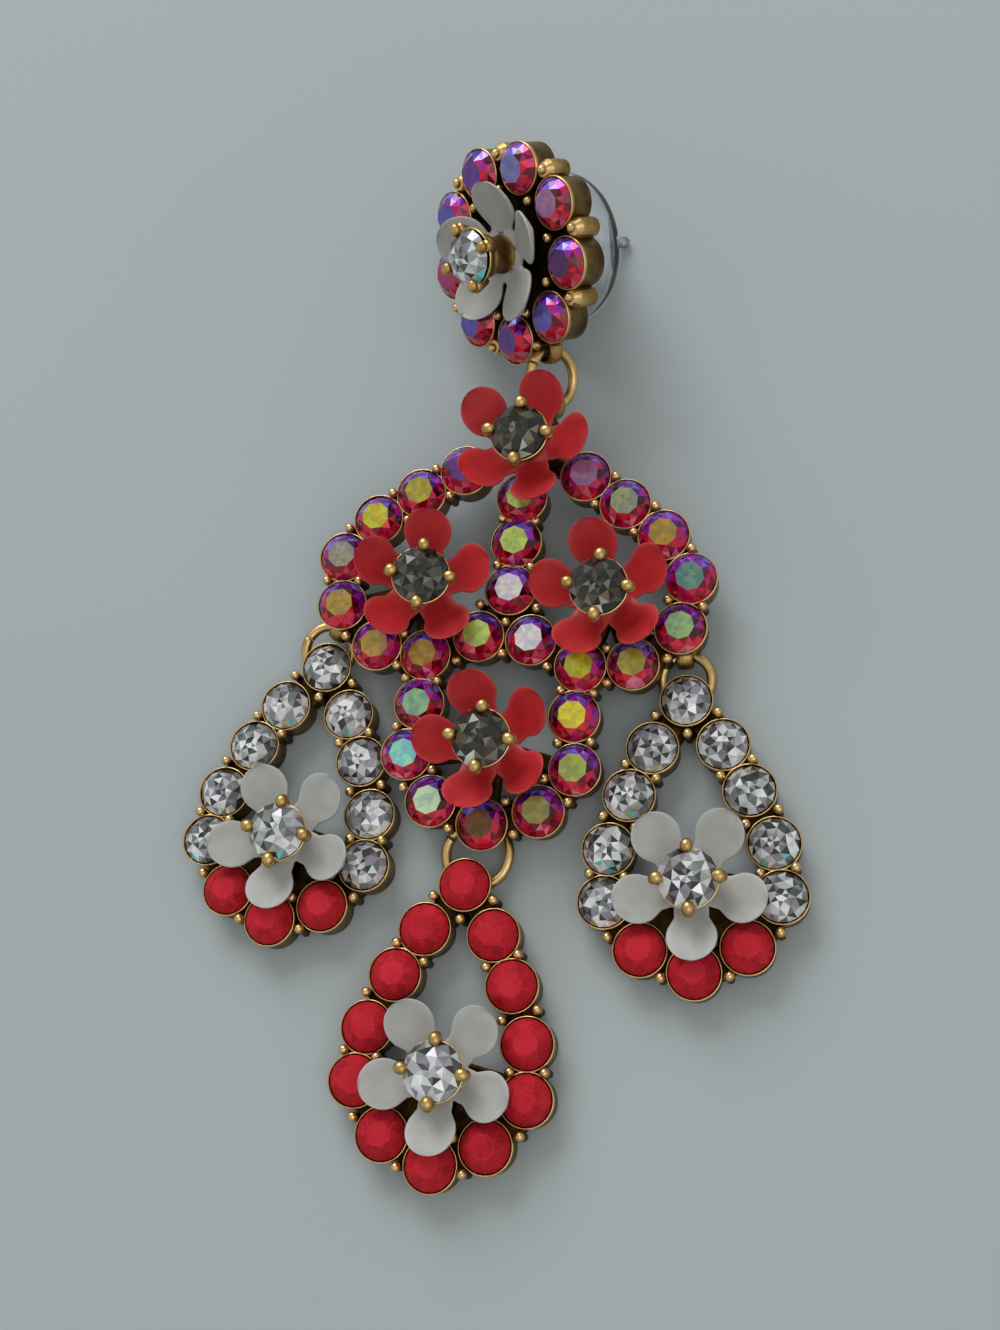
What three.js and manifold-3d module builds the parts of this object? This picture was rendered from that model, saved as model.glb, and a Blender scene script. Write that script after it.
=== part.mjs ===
// Chandelier stud earring lying face up: round stud, openwork frame, three teardrops on jump rings.
// Millimetres, +Z up, +Y from the drops towards the stud. The origin is under the middle of its box.
import * as THREE from 'three';
import { mergeVertices } from 'three/addons/utils/BufferGeometryUtils.js';
import Module from 'manifold-3d';

const wasm = await Module();
wasm.setup();

// Castings: every stone sits in a round cup, and neighbouring cups are joined.
const CUP_RADIUS = 1.95;
const CUP_FOOT_RADIUS = 1.75;
const CUP_HEIGHT = 2.3;
const SHORT_CUP_FOOT = 1.75;
const CUP_SIDES = 8;
const STONE_RADIUS = 1.6;
const STONE_TABLE_RADIUS = 0.95;
const STONE_FOOT = 2.1;
const STONE_TOP = 3.1;
const STONE_SIDES = 7;
const NEIGHBOUR_REACH = 4.4;
const LINK = { width: 2.2, top: 1.55 };
const STRUT = { width: 1.3, top: 1.35 };
const PLATE_STRUT = { width: 2.6, top: 1.25 };
const BOSS = { radius: 1.5, sides: 8 };
const GAP = 0.3;

// Flowers: a sheet of five petals, a crown setting and a round stone, one above the other.
const PETAL = { count: 5, steps: 8, spread: 150, sheet: 0.42, hub: 2.2, root: 1.2, rootWidth: 1.3 };
const CROWN_FOOT_RADIUS = 1.3;
const CROWN_RIM_RADIUS = 2.15;
const CROWN_WALL = 0.3;
const CROWN_DEPTH = 1.1;
const CROWN_SIDES = 8;
const PRONG = { count: 4, footAt: 1.9, tipAt: 2.5, below: 0.6, above: 1.1, radius: 0.45, sides: 5 };
const CHATON = { radius: 1.6, table: 1.0, culet: 0.4, lift: 0.35, depth: 0.85, girdle: 0.2, crown: 0.7 };
const CORAL_PETAL = { radius: 1.7, reach: 3.75, rise: 36, foot: 2.85 };
const IVORY_PETAL = { radius: 1.72, reach: 3.9, rise: 16, foot: 2.65 };
const STUD_PETAL = { radius: 1.75, reach: 3.7, rise: 26, foot: 2.3 };

// Rings: round wire, with room around it wherever it runs through a casting.
const WIRE_RADIUS = 0.38;
const CHANNEL_RADIUS = 0.68;
const BAIL = { radius: 1.06, length: 1.3, sides: 8 };
const RING_SIDES = 6;
const RING_STEPS = 18;
const FLATNESS = 0.04;
const WELD = 0.0001;

// Main frame, in its own plane: seats on the right half, mirrored, and seats on the middle line.
const FRAME_AT = { x: 2.55, y: 14.6, z: 2.42, turn: -4.2, incline: 4.5 };
const FRAME_SIDE_SEATS = [
  { x: 4.65, y: 0 },
  { x: 7.86, y: -1.97 },
  { x: 10.95, y: -4.2 },
  { x: 13.26, y: -7.33 },
  { x: 12.88, y: -11.07 },
  { x: 9.72, y: -13.98 },
  { x: 5.87, y: -14.43 },
  { x: 1.98, y: -12.73 },
  { x: 5.85, y: -18.15 },
  { x: 6.33, y: -22 },
  { x: 4.03, y: -25.25 },
];
const FRAME_MIDDLE_SEATS = [
  { x: 0, y: -1.95 },
  { x: 0, y: -5.42 },
  { x: 0, y: -9.06 },
  { x: 0, y: -26.57, short: true },
];
const FRAME_TONGUE = { from: { x: 0, y: 2 }, to: { x: 1.05, y: 5 } };
const FRAME_SETTING_RISE = 0.9;
const FRAME_FLOWERS = [
  { name: 'apex', x: 0, y: 2, turn: 75.5, lean: 0, struts: [[4.65, 0], [-4.65, 0], [0, -1.95]] },
  {
    name: 'left', x: -7.2, y: -9.2, turn: 91, lean: 12,
    struts: [[-12.88, -11.07], [-9.72, -13.98], [-5.87, -14.43]],
  },
  {
    name: 'right', x: 7.2, y: -9.2, turn: 104, lean: 0,
    struts: [[12.88, -11.07], [9.72, -13.98], [5.87, -14.43]],
  },
  { name: 'lower', x: 0, y: -20.8, turn: 112, lean: 0, struts: [[6.33, -22], [-6.33, -22], [0, -26.57]] },
];

// Teardrops: three castings alike, laid flat on their backs.
const DROP_SIDE_SEATS = [
  { x: 2.53, y: -3.4 },
  { x: 4.28, y: -6.8 },
  { x: 5.82, y: -10.65 },
  { x: 6.2, y: -14.4 },
  { x: 3.72, y: -17.8 },
];
const DROP_MIDDLE_SEATS = [
  { x: 0, y: 0, short: true },
  { x: 0, y: -19.45 },
];
const DROP_FLOWER = { x: 0, y: -13.3, turn: -90, lean: 0 };
const DROPS = [
  { name: 'left', x: -12.4, y: -0.1, turn: -7.3 },
  { name: 'right', x: 15, y: -2.5, turn: 3.6 },
  { name: 'bottom', x: -0.4, y: -16.35, turn: -3 },
];

// Stud: a round cluster that leans back on the tip of its post.
const STUD_AT = { x: 2.3, y: 31.4, z: 7.7 };
const STUD_TILT = 47;
const STUD_FACES = 217.7;
const STUD_SEATS = 9;
const STUD_PITCH_RADIUS = 6.4;
const STUD_SEATS_TURN = 3;
const STUD_PLATE = { radius: 6, top: 1.5, sides: 18 };
const STUD_TONGUE = { from: { x: 0.1, y: -5.2 }, to: { x: 0.14, y: -7.4 } };
const STUD_LOBE = { radius: 0.8, reach: 7.3, top: 2.2, sides: 6 };
const STUD_FLOWER = { x: 0, y: 0, turn: 70, lean: 0 };
const STUD_SETTING_RISE = 1.7;
const POST = { radius: 0.42, length: 11.06, root: 0.5, tip: 0.35, tipRadius: 0.2, sides: 10 };

// Clutch: a clear disc around a metal barrel with a bore for the post.
const DISC = { radius: 5.7, bore: 1.85, front: 3.4, thickness: 0.9, sides: 28 };
const BARREL = { radius: 1.5, bore: 0.76, front: 3.15, back: 8.2, sides: 12 };
const FLANGE = { radius: 2.5, front: 4.62, thickness: 0.5 };

// Rings: middle, radius of the wire's centre line, and tip-up about X and about Y.
const RINGS = [
  { name: 'jump_ring_left', x: -12.6, y: 1.5, z: 1.3, radius: 1.9, incline: 7, roll: 0 },
  { name: 'jump_ring_right', x: 14.9, y: -0.7, z: 1.3, radius: 1.8, incline: 7, roll: 0 },
  { name: 'jump_ring_bottom', x: 0.15, y: -13.95, z: 1.12, radius: 2.35, incline: 0, roll: 0 },
  { name: 'link_ring_stud', x: 4.2, y: 22.1, z: 4.9, radius: 2.1, incline: 22, roll: 50 },
];
// Where round each ring a casting holds it, in degrees.
const HELD_AT = {
  frameLeft: 62,
  frameRight: 96,
  frameBottom: 66,
  frameTop: 270,
  leftDrop: 277,
  rightDrop: 272,
  bottomDrop: 257,
  stud: 96,
};

const radians = THREE.MathUtils.degToRad;

/** One closed geometry as a solid for joining and cutting. */
function solidOf(geometry, matrix = new THREE.Matrix4()) {
  const bare = geometry.clone().applyMatrix4(matrix);
  bare.deleteAttribute('normal');
  bare.deleteAttribute('uv');
  const merged = mergeVertices(bare, WELD);
  return new wasm.Manifold(new wasm.Mesh({
    numProp: 3,
    vertProperties: new Float32Array(merged.attributes.position.array),
    triVerts: new Uint32Array(merged.index.array),
  }));
}

/** All the solids joined in one. */
function joined(solids) {
  return solids.reduce((whole, next) => whole.add(next));
}

/** The largest body of a solid, without the slivers that a cut leaves. */
function largestBody(solid) {
  return solid.decompose().reduce((best, next) => (next.volume() > best.volume() ? next : best));
}

/** A solid back as a geometry, with its flat faces merged. */
function geometryOf(solid) {
  const mesh = largestBody(solid.asOriginal().simplify(FLATNESS)).getMesh();
  const geometry = new THREE.BufferGeometry();
  geometry.setAttribute('position', new THREE.BufferAttribute(new Float32Array(mesh.vertProperties), 3));
  geometry.setIndex(new THREE.BufferAttribute(new Uint32Array(mesh.triVerts), 1));
  geometry.computeVertexNormals();
  return geometry;
}

/** An upright prism or cone frustum over (x, y) from height foot to height top. */
function prism(x, y, foot, top, footRadius, topRadius, sides) {
  const geometry = new THREE.CylinderGeometry(topRadius, footRadius, top - foot, sides);
  geometry.rotateX(Math.PI / 2);
  geometry.translate(x, y, (foot + top) / 2);
  return geometry;
}

/** A bar between two points on the casting's flat back. */
function bar(from, to, { width, top }) {
  const length = Math.hypot(to.x - from.x, to.y - from.y);
  const geometry = new THREE.BoxGeometry(length, width, top);
  geometry.rotateZ(Math.atan2(to.y - from.y, to.x - from.x));
  geometry.translate((from.x + to.x) / 2, (from.y + to.y) / 2, top / 2);
  return geometry;
}

/** A solid of revolution about Z from (radius, height) pairs that start and end on the axis or close. */
function turned(profile, sides) {
  const points = profile.map(([radius, height]) => new THREE.Vector2(radius, height));
  const geometry = new THREE.LatheGeometry(points, sides);
  geometry.rotateX(Math.PI / 2);
  return geometry;
}

/** Metal of a colour. */
function metal(color) {
  return new THREE.MeshStandardMaterial({ color, roughness: 0.38, metalness: 1 });
}

/** Enamel of a colour. */
function enamel(color) {
  return new THREE.MeshStandardMaterial({ color, roughness: 0.55, metalness: 0 });
}

/** Glass or clear plastic of a colour. */
function glass(color) {
  return new THREE.MeshStandardMaterial({ color, roughness: 0.08, metalness: 0 });
}

const BRASS = 0x8a6a38;
const STEEL = 0xb9bcc0;
const CORAL = 0xc63032;
const IVORY = 0xb9b4ac;
const SMOKY = 0x3c413a;
const CLEAR = 0xd9dde2;

/** A mesh with its plain name. */
function namedMesh(name, geometry, material) {
  const mesh = new THREE.Mesh(geometry, material);
  mesh.name = name;
  return mesh;
}

/** Both halves of a symmetrical set of seats, and those on the middle line. */
function allSeats(sideSeats, middleSeats) {
  const mirrored = sideSeats.map((seat) => ({ ...seat, x: -seat.x }));
  return [...sideSeats, ...mirrored, ...middleSeats];
}

/** A cup with its stone; a short cup leaves room below for a ring. */
function seatSolids({ x, y, short }) {
  const foot = short ? SHORT_CUP_FOOT : 0;
  const cup = prism(x, y, foot, CUP_HEIGHT, CUP_FOOT_RADIUS, CUP_RADIUS, CUP_SIDES);
  const stone = prism(x, y, STONE_FOOT, STONE_TOP, STONE_RADIUS, STONE_TABLE_RADIUS, STONE_SIDES);
  return [solidOf(cup), solidOf(stone)];
}

/** The round boss that carries a flower. */
function boss({ x, y }, petal) {
  return prism(x, y, 0, petal.foot - GAP, BOSS.radius, BOSS.radius, BOSS.sides);
}

/** The paved metal of a casting: cups, the links between neighbours, and struts to the flower bosses. */
function casting(seats, flowers, petal) {
  const pieces = seats.flatMap(seatSolids);
  seats.forEach((seat, i) => {
    for (const other of seats.slice(i + 1)) {
      if (Math.hypot(seat.x - other.x, seat.y - other.y) < NEIGHBOUR_REACH) {
        pieces.push(solidOf(bar(seat, other, LINK)));
      }
    }
  });
  for (const flower of flowers) {
    pieces.push(solidOf(boss(flower, petal)));
    for (const [x, y] of flower.struts) {
      pieces.push(solidOf(bar(flower, { x, y }, flower.strut ?? STRUT)));
    }
  }
  return joined(pieces);
}

/** One petal along +X, flat over the hub and bent upwards beyond it. */
function petalGeometry({ radius, reach, rise, foot }) {
  const slope = radians(rise);
  const spread = radians(PETAL.spread);
  const outline = [new THREE.Vector2(PETAL.root, -PETAL.rootWidth / 2)];
  for (let step = 0; step <= PETAL.steps; step += 1) {
    const around = spread * ((2 * step) / PETAL.steps - 1);
    const outward = reach + radius * Math.cos(slope) * Math.cos(around);
    outline.push(new THREE.Vector2(outward, radius * Math.sin(around)));
  }
  outline.push(new THREE.Vector2(PETAL.root, PETAL.rootWidth / 2));
  const sheet = { depth: PETAL.sheet, bevelEnabled: false };
  const petal = new THREE.ExtrudeGeometry(new THREE.Shape(outline), sheet);
  const position = petal.attributes.position;
  for (let i = 0; i < position.count; i += 1) {
    const beyondHub = Math.max(0, position.getX(i) - PETAL.hub);
    position.setZ(i, position.getZ(i) + foot + beyondHub * Math.tan(slope));
  }
  return petal;
}

/** Five petals joined round a flat hub. */
function petalSheet(petal) {
  const geometry = petalGeometry(petal);
  const hub = prism(0, 0, petal.foot, petal.foot + PETAL.sheet, PETAL.hub, PETAL.hub, 2 * PETAL.count);
  const pieces = [solidOf(hub)];
  for (let i = 0; i < PETAL.count; i += 1) {
    pieces.push(solidOf(geometry, new THREE.Matrix4().makeRotationZ((i * 2 * Math.PI) / PETAL.count)));
  }
  return geometryOf(joined(pieces));
}

/** The height at which a crown stands over its petals. */
function crownFoot(petal) {
  return petal.foot + PETAL.sheet + GAP;
}

/** A crown setting: an open cone with four prongs, raised by rise on a wider foot. */
function crownSetting(petal, rise) {
  const foot = crownFoot(petal) + rise;
  const rim = foot + CROWN_DEPTH;
  const cone = turned([
    [0, crownFoot(petal)],
    [CROWN_FOOT_RADIUS, crownFoot(petal)],
    [CROWN_FOOT_RADIUS + (rise > 0 ? CROWN_WALL : 0), foot],
    [CROWN_RIM_RADIUS, rim],
    [CROWN_RIM_RADIUS - CROWN_WALL, rim],
    [CROWN_FOOT_RADIUS - CROWN_WALL, foot + CROWN_WALL],
    [0, foot + CROWN_WALL],
  ], CROWN_SIDES);
  const pieces = [solidOf(cone)];
  const run = new THREE.Vector3(PRONG.tipAt - PRONG.footAt, 0, PRONG.below + PRONG.above);
  const prong = new THREE.CylinderGeometry(PRONG.radius, PRONG.radius, run.length(), PRONG.sides);
  const upright = new THREE.Vector3(0, 1, 0);
  const leaning = new THREE.Quaternion().setFromUnitVectors(upright, run.clone().normalize());
  for (let i = 0; i < PRONG.count; i += 1) {
    const middle = rim + (PRONG.above - PRONG.below) / 2;
    const at = new THREE.Vector3((PRONG.footAt + PRONG.tipAt) / 2, 0, middle);
    const matrix = new THREE.Matrix4().makeRotationZ((i * 2 * Math.PI) / PRONG.count)
      .multiply(new THREE.Matrix4().compose(at, leaning, new THREE.Vector3(1, 1, 1)));
    pieces.push(solidOf(prong, matrix));
  }
  return geometryOf(joined(pieces));
}

/** A round pointed-back stone above the crown's floor. */
function chaton(petal, rise) {
  const culet = crownFoot(petal) + rise + CROWN_WALL + CHATON.lift;
  const girdle = culet + CHATON.depth;
  return turned([
    [0, culet],
    [CHATON.culet, culet],
    [CHATON.radius, girdle],
    [CHATON.radius, girdle + CHATON.girdle],
    [CHATON.table, girdle + CHATON.girdle + CHATON.crown],
    [0, girdle + CHATON.girdle + CHATON.crown],
  ], STONE_SIDES);
}

/** Petals, setting and stone of one flower, as a group over its boss. */
function flower(name, { x, y, turn, lean }, petal, colours, rise = 0) {
  const group = new THREE.Group();
  group.position.set(x, y, 0);
  group.rotation.set(0, radians(lean), 0);
  const petals = namedMesh(`petals_${name}`, petalSheet(petal), enamel(colours.petals));
  petals.rotation.z = radians(turn);
  const setting = namedMesh(`setting_${name}`, crownSetting(petal, rise), metal(BRASS));
  const stone = namedMesh(`stone_${name}`, chaton(petal, rise), glass(colours.stone));
  group.add(petals, setting, stone);
  return group;
}

/** A group set down at a place, turned about Z and then inclined about its own X. */
function placedGroup({ x, y, z = 0, turn = 0, incline = 0, roll = 0 }) {
  const group = new THREE.Group();
  group.rotation.set(radians(incline), radians(roll), radians(turn), 'ZXY');
  group.position.set(x, y, z);
  group.updateMatrixWorld(true);
  return group;
}

/** The stud's group: Z is its face's normal, and -Y points at the frame. */
function studGroup() {
  const level = Math.sin(radians(STUD_TILT));
  const normal = new THREE.Vector3(
    level * Math.cos(radians(STUD_FACES)),
    level * Math.sin(radians(STUD_FACES)),
    Math.cos(radians(STUD_TILT)),
  );
  const up = new THREE.Vector3(0, 1, 0).addScaledVector(normal, -normal.y).normalize();
  const side = new THREE.Vector3().crossVectors(up, normal);
  const group = new THREE.Group();
  group.quaternion.setFromRotationMatrix(new THREE.Matrix4().makeBasis(side, up, normal));
  group.position.set(STUD_AT.x, STUD_AT.y, STUD_AT.z);
  group.updateMatrixWorld(true);
  return group;
}

/** A closed ring of round section. */
function ringSolid(ring, tube) {
  return solidOf(new THREE.TorusGeometry(ring.radius, tube, RING_SIDES, RING_STEPS));
}

/** The loop of metal that a ring runs through, at an angle around the ring. */
function bailSolid(ring, degrees) {
  const loop = new THREE.CylinderGeometry(BAIL.radius, BAIL.radius, BAIL.length, BAIL.sides);
  const at = new THREE.Matrix4().makeRotationZ(radians(degrees))
    .multiply(new THREE.Matrix4().makeTranslation(ring.radius, 0, 0));
  return solidOf(loop, at);
}

/** A casting with a bail on each ring that carries it, cut clear of the ring's wire. */
function hungOn(body, group, hangings) {
  const toGroup = group.matrixWorld.clone().invert();
  return hangings.reduce((whole, { ring, degrees }) => {
    const placed = toGroup.clone().multiply(placedGroup(ring).matrixWorld).elements;
    const bail = bailSolid(ring, degrees).transform(placed);
    const channel = ringSolid(ring, CHANNEL_RADIUS).transform(placed);
    return whole.add(bail).subtract(channel);
  }, body);
}

const [leftRing, rightRing, bottomRing, studRing] = RINGS;

/** The openwork frame with its four coral flowers. */
function mainFrame() {
  const group = placedGroup(FRAME_AT);
  const seats = allSeats(FRAME_SIDE_SEATS, FRAME_MIDDLE_SEATS);
  const tongue = solidOf(bar(FRAME_TONGUE.from, FRAME_TONGUE.to, STRUT));
  const body = hungOn(casting(seats, FRAME_FLOWERS, CORAL_PETAL).add(tongue), group, [
    { ring: leftRing, degrees: HELD_AT.frameLeft },
    { ring: rightRing, degrees: HELD_AT.frameRight },
    { ring: bottomRing, degrees: HELD_AT.frameBottom },
    { ring: studRing, degrees: HELD_AT.frameTop },
  ]);
  group.add(namedMesh('main_frame', geometryOf(body), metal(BRASS)));
  for (const spec of FRAME_FLOWERS) {
    group.add(flower(spec.name, spec, CORAL_PETAL, { petals: CORAL, stone: SMOKY }, FRAME_SETTING_RISE));
  }
  return group;
}

/** One teardrop with its ivory flower. */
function drop({ name, x, y, turn }, ring, degrees) {
  const group = placedGroup({ x, y, turn });
  const seats = allSeats(DROP_SIDE_SEATS, DROP_MIDDLE_SEATS);
  const held = seats.filter((seat) => seat.y < DROP_FLOWER.y).map((seat) => [seat.x, seat.y]);
  const body = casting(seats, [{ ...DROP_FLOWER, struts: held, strut: PLATE_STRUT }], IVORY_PETAL);
  const hung = hungOn(body, group, [{ ring, degrees }]);
  group.add(namedMesh(`drop_${name}`, geometryOf(hung), metal(BRASS)));
  group.add(flower(`drop_${name}`, DROP_FLOWER, IVORY_PETAL, { petals: IVORY, stone: CLEAR }));
  return group;
}

/** The angle round the stud in steps of a seat: lobes stand at whole steps, seats halfway between. */
function studAngle(step) {
  return (step * 2 * Math.PI) / STUD_SEATS - Math.PI / 2 + radians(STUD_SEATS_TURN);
}

/** The round lobes between the seats; the tongue takes the place of the lowest. */
function studLobes() {
  const { radius, reach, top, sides } = STUD_LOBE;
  const lobes = [];
  for (let i = 1; i < STUD_SEATS; i += 1) {
    const x = reach * Math.cos(studAngle(i));
    const y = reach * Math.sin(studAngle(i));
    lobes.push(solidOf(prism(x, y, 0, top, radius, radius, sides)));
  }
  return lobes;
}

/** The round stud with its post, flower and clutch. */
function stud() {
  const group = studGroup();
  const { radius, top, sides } = STUD_PLATE;
  const pieces = [solidOf(prism(0, 0, 0, top, radius, radius, sides))];
  for (let i = 0; i < STUD_SEATS; i += 1) {
    const angle = studAngle(i + 1 / 2);
    const seat = { x: STUD_PITCH_RADIUS * Math.cos(angle), y: STUD_PITCH_RADIUS * Math.sin(angle) };
    pieces.push(...seatSolids(seat));
  }
  pieces.push(...studLobes());
  pieces.push(solidOf(bar(STUD_TONGUE.from, STUD_TONGUE.to, STRUT)));
  pieces.push(solidOf(boss({ x: 0, y: 0 }, STUD_PETAL)));
  pieces.push(solidOf(turned([
    [0, -POST.length],
    [POST.tipRadius, -POST.length],
    [POST.radius, -POST.length + POST.tip],
    [POST.radius, POST.root],
    [0, POST.root],
  ], POST.sides)));
  const body = hungOn(joined(pieces), group, [{ ring: studRing, degrees: HELD_AT.stud }]);
  group.add(namedMesh('stud_base', geometryOf(body), metal(BRASS)));
  group.add(flower('stud', STUD_FLOWER, STUD_PETAL, { petals: IVORY, stone: CLEAR }, STUD_SETTING_RISE));
  group.add(clutchDisc(), clutchBarrel());
  return group;
}

/** The clear disc, square to the post and behind the stud. */
function clutchDisc() {
  const back = -DISC.front - DISC.thickness;
  const profile = [
    [DISC.bore, back],
    [DISC.radius, back],
    [DISC.radius, -DISC.front],
    [DISC.bore, -DISC.front],
    [DISC.bore, back],
  ];
  return namedMesh('clutch_disc', turned(profile, DISC.sides), glass(CLEAR));
}

/** The metal barrel that grips the post, with a flange behind the disc. */
function clutchBarrel() {
  const profile = [
    [BARREL.bore, -BARREL.back],
    [BARREL.radius, -BARREL.back],
    [BARREL.radius, -FLANGE.front - FLANGE.thickness],
    [FLANGE.radius, -FLANGE.front - FLANGE.thickness],
    [FLANGE.radius, -FLANGE.front],
    [BARREL.radius, -FLANGE.front],
    [BARREL.radius, -BARREL.front],
    [BARREL.bore, -BARREL.front],
    [BARREL.bore, -BARREL.back],
  ];
  return namedMesh('clutch_barrel', turned(profile, BARREL.sides), metal(STEEL));
}

/** One wire ring in its place. */
function wireRing(ring) {
  const group = placedGroup(ring);
  const geometry = geometryOf(ringSolid(ring, WIRE_RADIUS));
  group.add(namedMesh(ring.name, geometry, metal(BRASS)));
  return group;
}

const [leftDrop, rightDrop, bottomDrop] = DROPS;
const earring = new THREE.Group();
earring.add(
  mainFrame(),
  drop(leftDrop, leftRing, HELD_AT.leftDrop),
  drop(rightDrop, rightRing, HELD_AT.rightDrop),
  drop(bottomDrop, bottomRing, HELD_AT.bottomDrop),
  stud(),
  ...RINGS.map(wireRing),
);

// The origin goes to the middle of the box, level with the lowest point.
const box = new THREE.Box3().setFromObject(earring, true);
const middle = box.getCenter(new THREE.Vector3());
earring.position.set(-middle.x, -middle.y, -box.min.z);
earring.updateMatrixWorld(true);

export default earring;
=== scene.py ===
"""Looks of a chandelier stud earring that lies face up: metal, stones, enamel, clutch, floor and light.

Sizes of the earring are in millimetres, angles in degrees. The stage is in metres.
"""

from __future__ import annotations

import logging
import math
from dataclasses import dataclass, field
from enum import Enum
from typing import ClassVar

import bmesh
import bpy
from mathutils import Matrix, Vector

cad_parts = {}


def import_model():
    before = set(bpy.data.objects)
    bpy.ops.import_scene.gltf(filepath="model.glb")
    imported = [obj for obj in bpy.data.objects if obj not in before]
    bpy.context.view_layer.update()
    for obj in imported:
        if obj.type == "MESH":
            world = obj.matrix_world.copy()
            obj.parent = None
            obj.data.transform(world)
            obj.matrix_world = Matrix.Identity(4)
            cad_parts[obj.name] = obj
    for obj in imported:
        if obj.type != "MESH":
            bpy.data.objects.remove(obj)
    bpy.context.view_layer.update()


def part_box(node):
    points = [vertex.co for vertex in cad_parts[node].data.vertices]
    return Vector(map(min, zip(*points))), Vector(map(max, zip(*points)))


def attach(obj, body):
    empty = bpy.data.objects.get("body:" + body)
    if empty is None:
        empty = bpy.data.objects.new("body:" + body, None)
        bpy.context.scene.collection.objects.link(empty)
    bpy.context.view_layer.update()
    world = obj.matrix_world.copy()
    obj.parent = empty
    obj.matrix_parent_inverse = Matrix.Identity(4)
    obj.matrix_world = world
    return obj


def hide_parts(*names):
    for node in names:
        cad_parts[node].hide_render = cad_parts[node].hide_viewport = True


LOG = logging.getLogger("earring")
MM = 0.001
Colour = tuple[float, float, float, float]
Point = tuple[float, float, float]
Spot = tuple[float, float]
Profile = list[tuple[float, float, float]]


def srgb(red: int, green: int, blue: int) -> Colour:
    """Turns a display colour into a linear one.

    Args:
        red: Red, 0 to 255.
        green: Green, 0 to 255.
        blue: Blue, 0 to 255.

    Returns:
        The linear colour with full alpha.
    """
    def linear(value: int) -> float:
        """One channel, made linear."""
        share = value / 255
        return share / 12.92 if share <= 0.04045 else ((share + 0.055) / 1.055) ** 2.4

    return linear(red), linear(green), linear(blue), 1.0


class TableReflection(Enum):
    """Painted reflections on a red stone's table, in the colours that its rainbow coating reflects."""

    PLUM = srgb(84, 34, 104)
    PURPLE = srgb(104, 66, 168)
    BLUE = srgb(98, 100, 196)
    SKY = srgb(124, 140, 206)
    LILAC = srgb(176, 128, 176)
    ROSE = srgb(186, 62, 120)
    STRAW = srgb(197, 190, 62)
    YELLOW = srgb(222, 220, 42)
    SUN = srgb(255, 246, 66)
    CHALK = srgb(171, 176, 150)
    OCHRE = srgb(194, 164, 72)
    OLIVE = srgb(188, 164, 56)
    GOLD = srgb(190, 154, 46)
    MOSS = srgb(178, 178, 95)
    LIME = srgb(206, 236, 118)
    REED = srgb(184, 208, 98)
    FERN = srgb(155, 206, 137)
    SAGE = srgb(155, 216, 172)
    GREEN = srgb(214, 255, 212)
    MINT = srgb(158, 255, 236)
    TEAL = srgb(106, 166, 149)
    MIST = srgb(158, 176, 136)
    BRONZE = srgb(124, 88, 30)
    WHITE = srgb(255, 255, 255)


class Cut(Enum):
    """How a seat's stone looks."""

    RED = "red"
    CLEAR = "clear"
    CORAL = "coral"


# ---------------------------------------------------------------- meshes


@dataclass
class Shape:
    """Points, faces and a wear-and-sheen value for each point: 0 in dark recesses, where brass keeps its
    patina, 1 on bright edges, which are rubbed brass with a painted highlight, or a painted highlight on
    enamel rims.
    """

    points: list[Vector] = field(default_factory=list)
    faces: list[tuple[int, ...]] = field(default_factory=list)
    wear_and_sheen: list[float] = field(default_factory=list)

    def add(self, other: Shape, place: Matrix | None = None) -> Shape:
        """Takes in another shape.

        Args:
            other: The shape to take in.
            place: Where it goes, or None to keep its place.

        Returns:
            This shape.
        """
        start = len(self.points)
        move = place or Matrix()
        self.points += [move @ p for p in other.points]
        self.wear_and_sheen += other.wear_and_sheen
        self.faces += [tuple(start + i for i in face) for face in other.faces]
        return self

    def mesh(self, name: str, smooth: bool = True) -> bpy.types.Mesh:
        """Makes a mesh of the shape, with its wear-and-sheen value as a point attribute.

        Args:
            name: The mesh's name.
            smooth: Whether faces are shaded smooth.

        Returns:
            The mesh, with its faces pointing out.
        """
        mesh = bpy.data.meshes.new(name)
        mesh.from_pydata([p[:] for p in self.points], [], self.faces)
        wear_and_sheen = mesh.attributes.new("wear_and_sheen", "FLOAT", "POINT")
        wear_and_sheen.data.foreach_set("value", self.wear_and_sheen)
        shell = bmesh.new()
        shell.from_mesh(mesh)
        bmesh.ops.recalc_face_normals(shell, faces=shell.faces[:])
        for face in shell.faces:
            face.smooth = smooth
        shell.to_mesh(mesh)
        shell.free()
        return mesh


def turned(profile: Profile, sides: int, closed: bool = False) -> Shape:
    """Turns a profile about Z.

    Args:
        profile: (radius, height, wear-and-sheen value) rows. A radius of 0 makes a pole.
        sides: Steps around.
        closed: Whether the last row joins the first, as on a ring.

    Returns:
        The turned shape.
    """
    shape = Shape()
    rows: list[list[int]] = []
    for radius, height, wear_and_sheen in profile:
        steps = 1 if radius == 0 else sides
        row = []
        for i in range(steps):
            angle = 2 * math.pi * i / sides
            row.append(len(shape.points))
            shape.points.append(Vector((radius * math.cos(angle), radius * math.sin(angle), height)))
            shape.wear_and_sheen.append(wear_and_sheen)
        rows.append(row)
    pairs = list(zip(rows, rows[1:])) + ([(rows[-1], rows[0])] if closed else [])
    for low, high in pairs:
        for i in range(sides):
            j = (i + 1) % sides
            corners = [low[i % len(low)], low[j % len(low)], high[j % len(high)], high[i % len(high)]]
            face = tuple(dict.fromkeys(corners))
            if len(face) > 2:
                shape.faces.append(face)
    return shape


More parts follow.
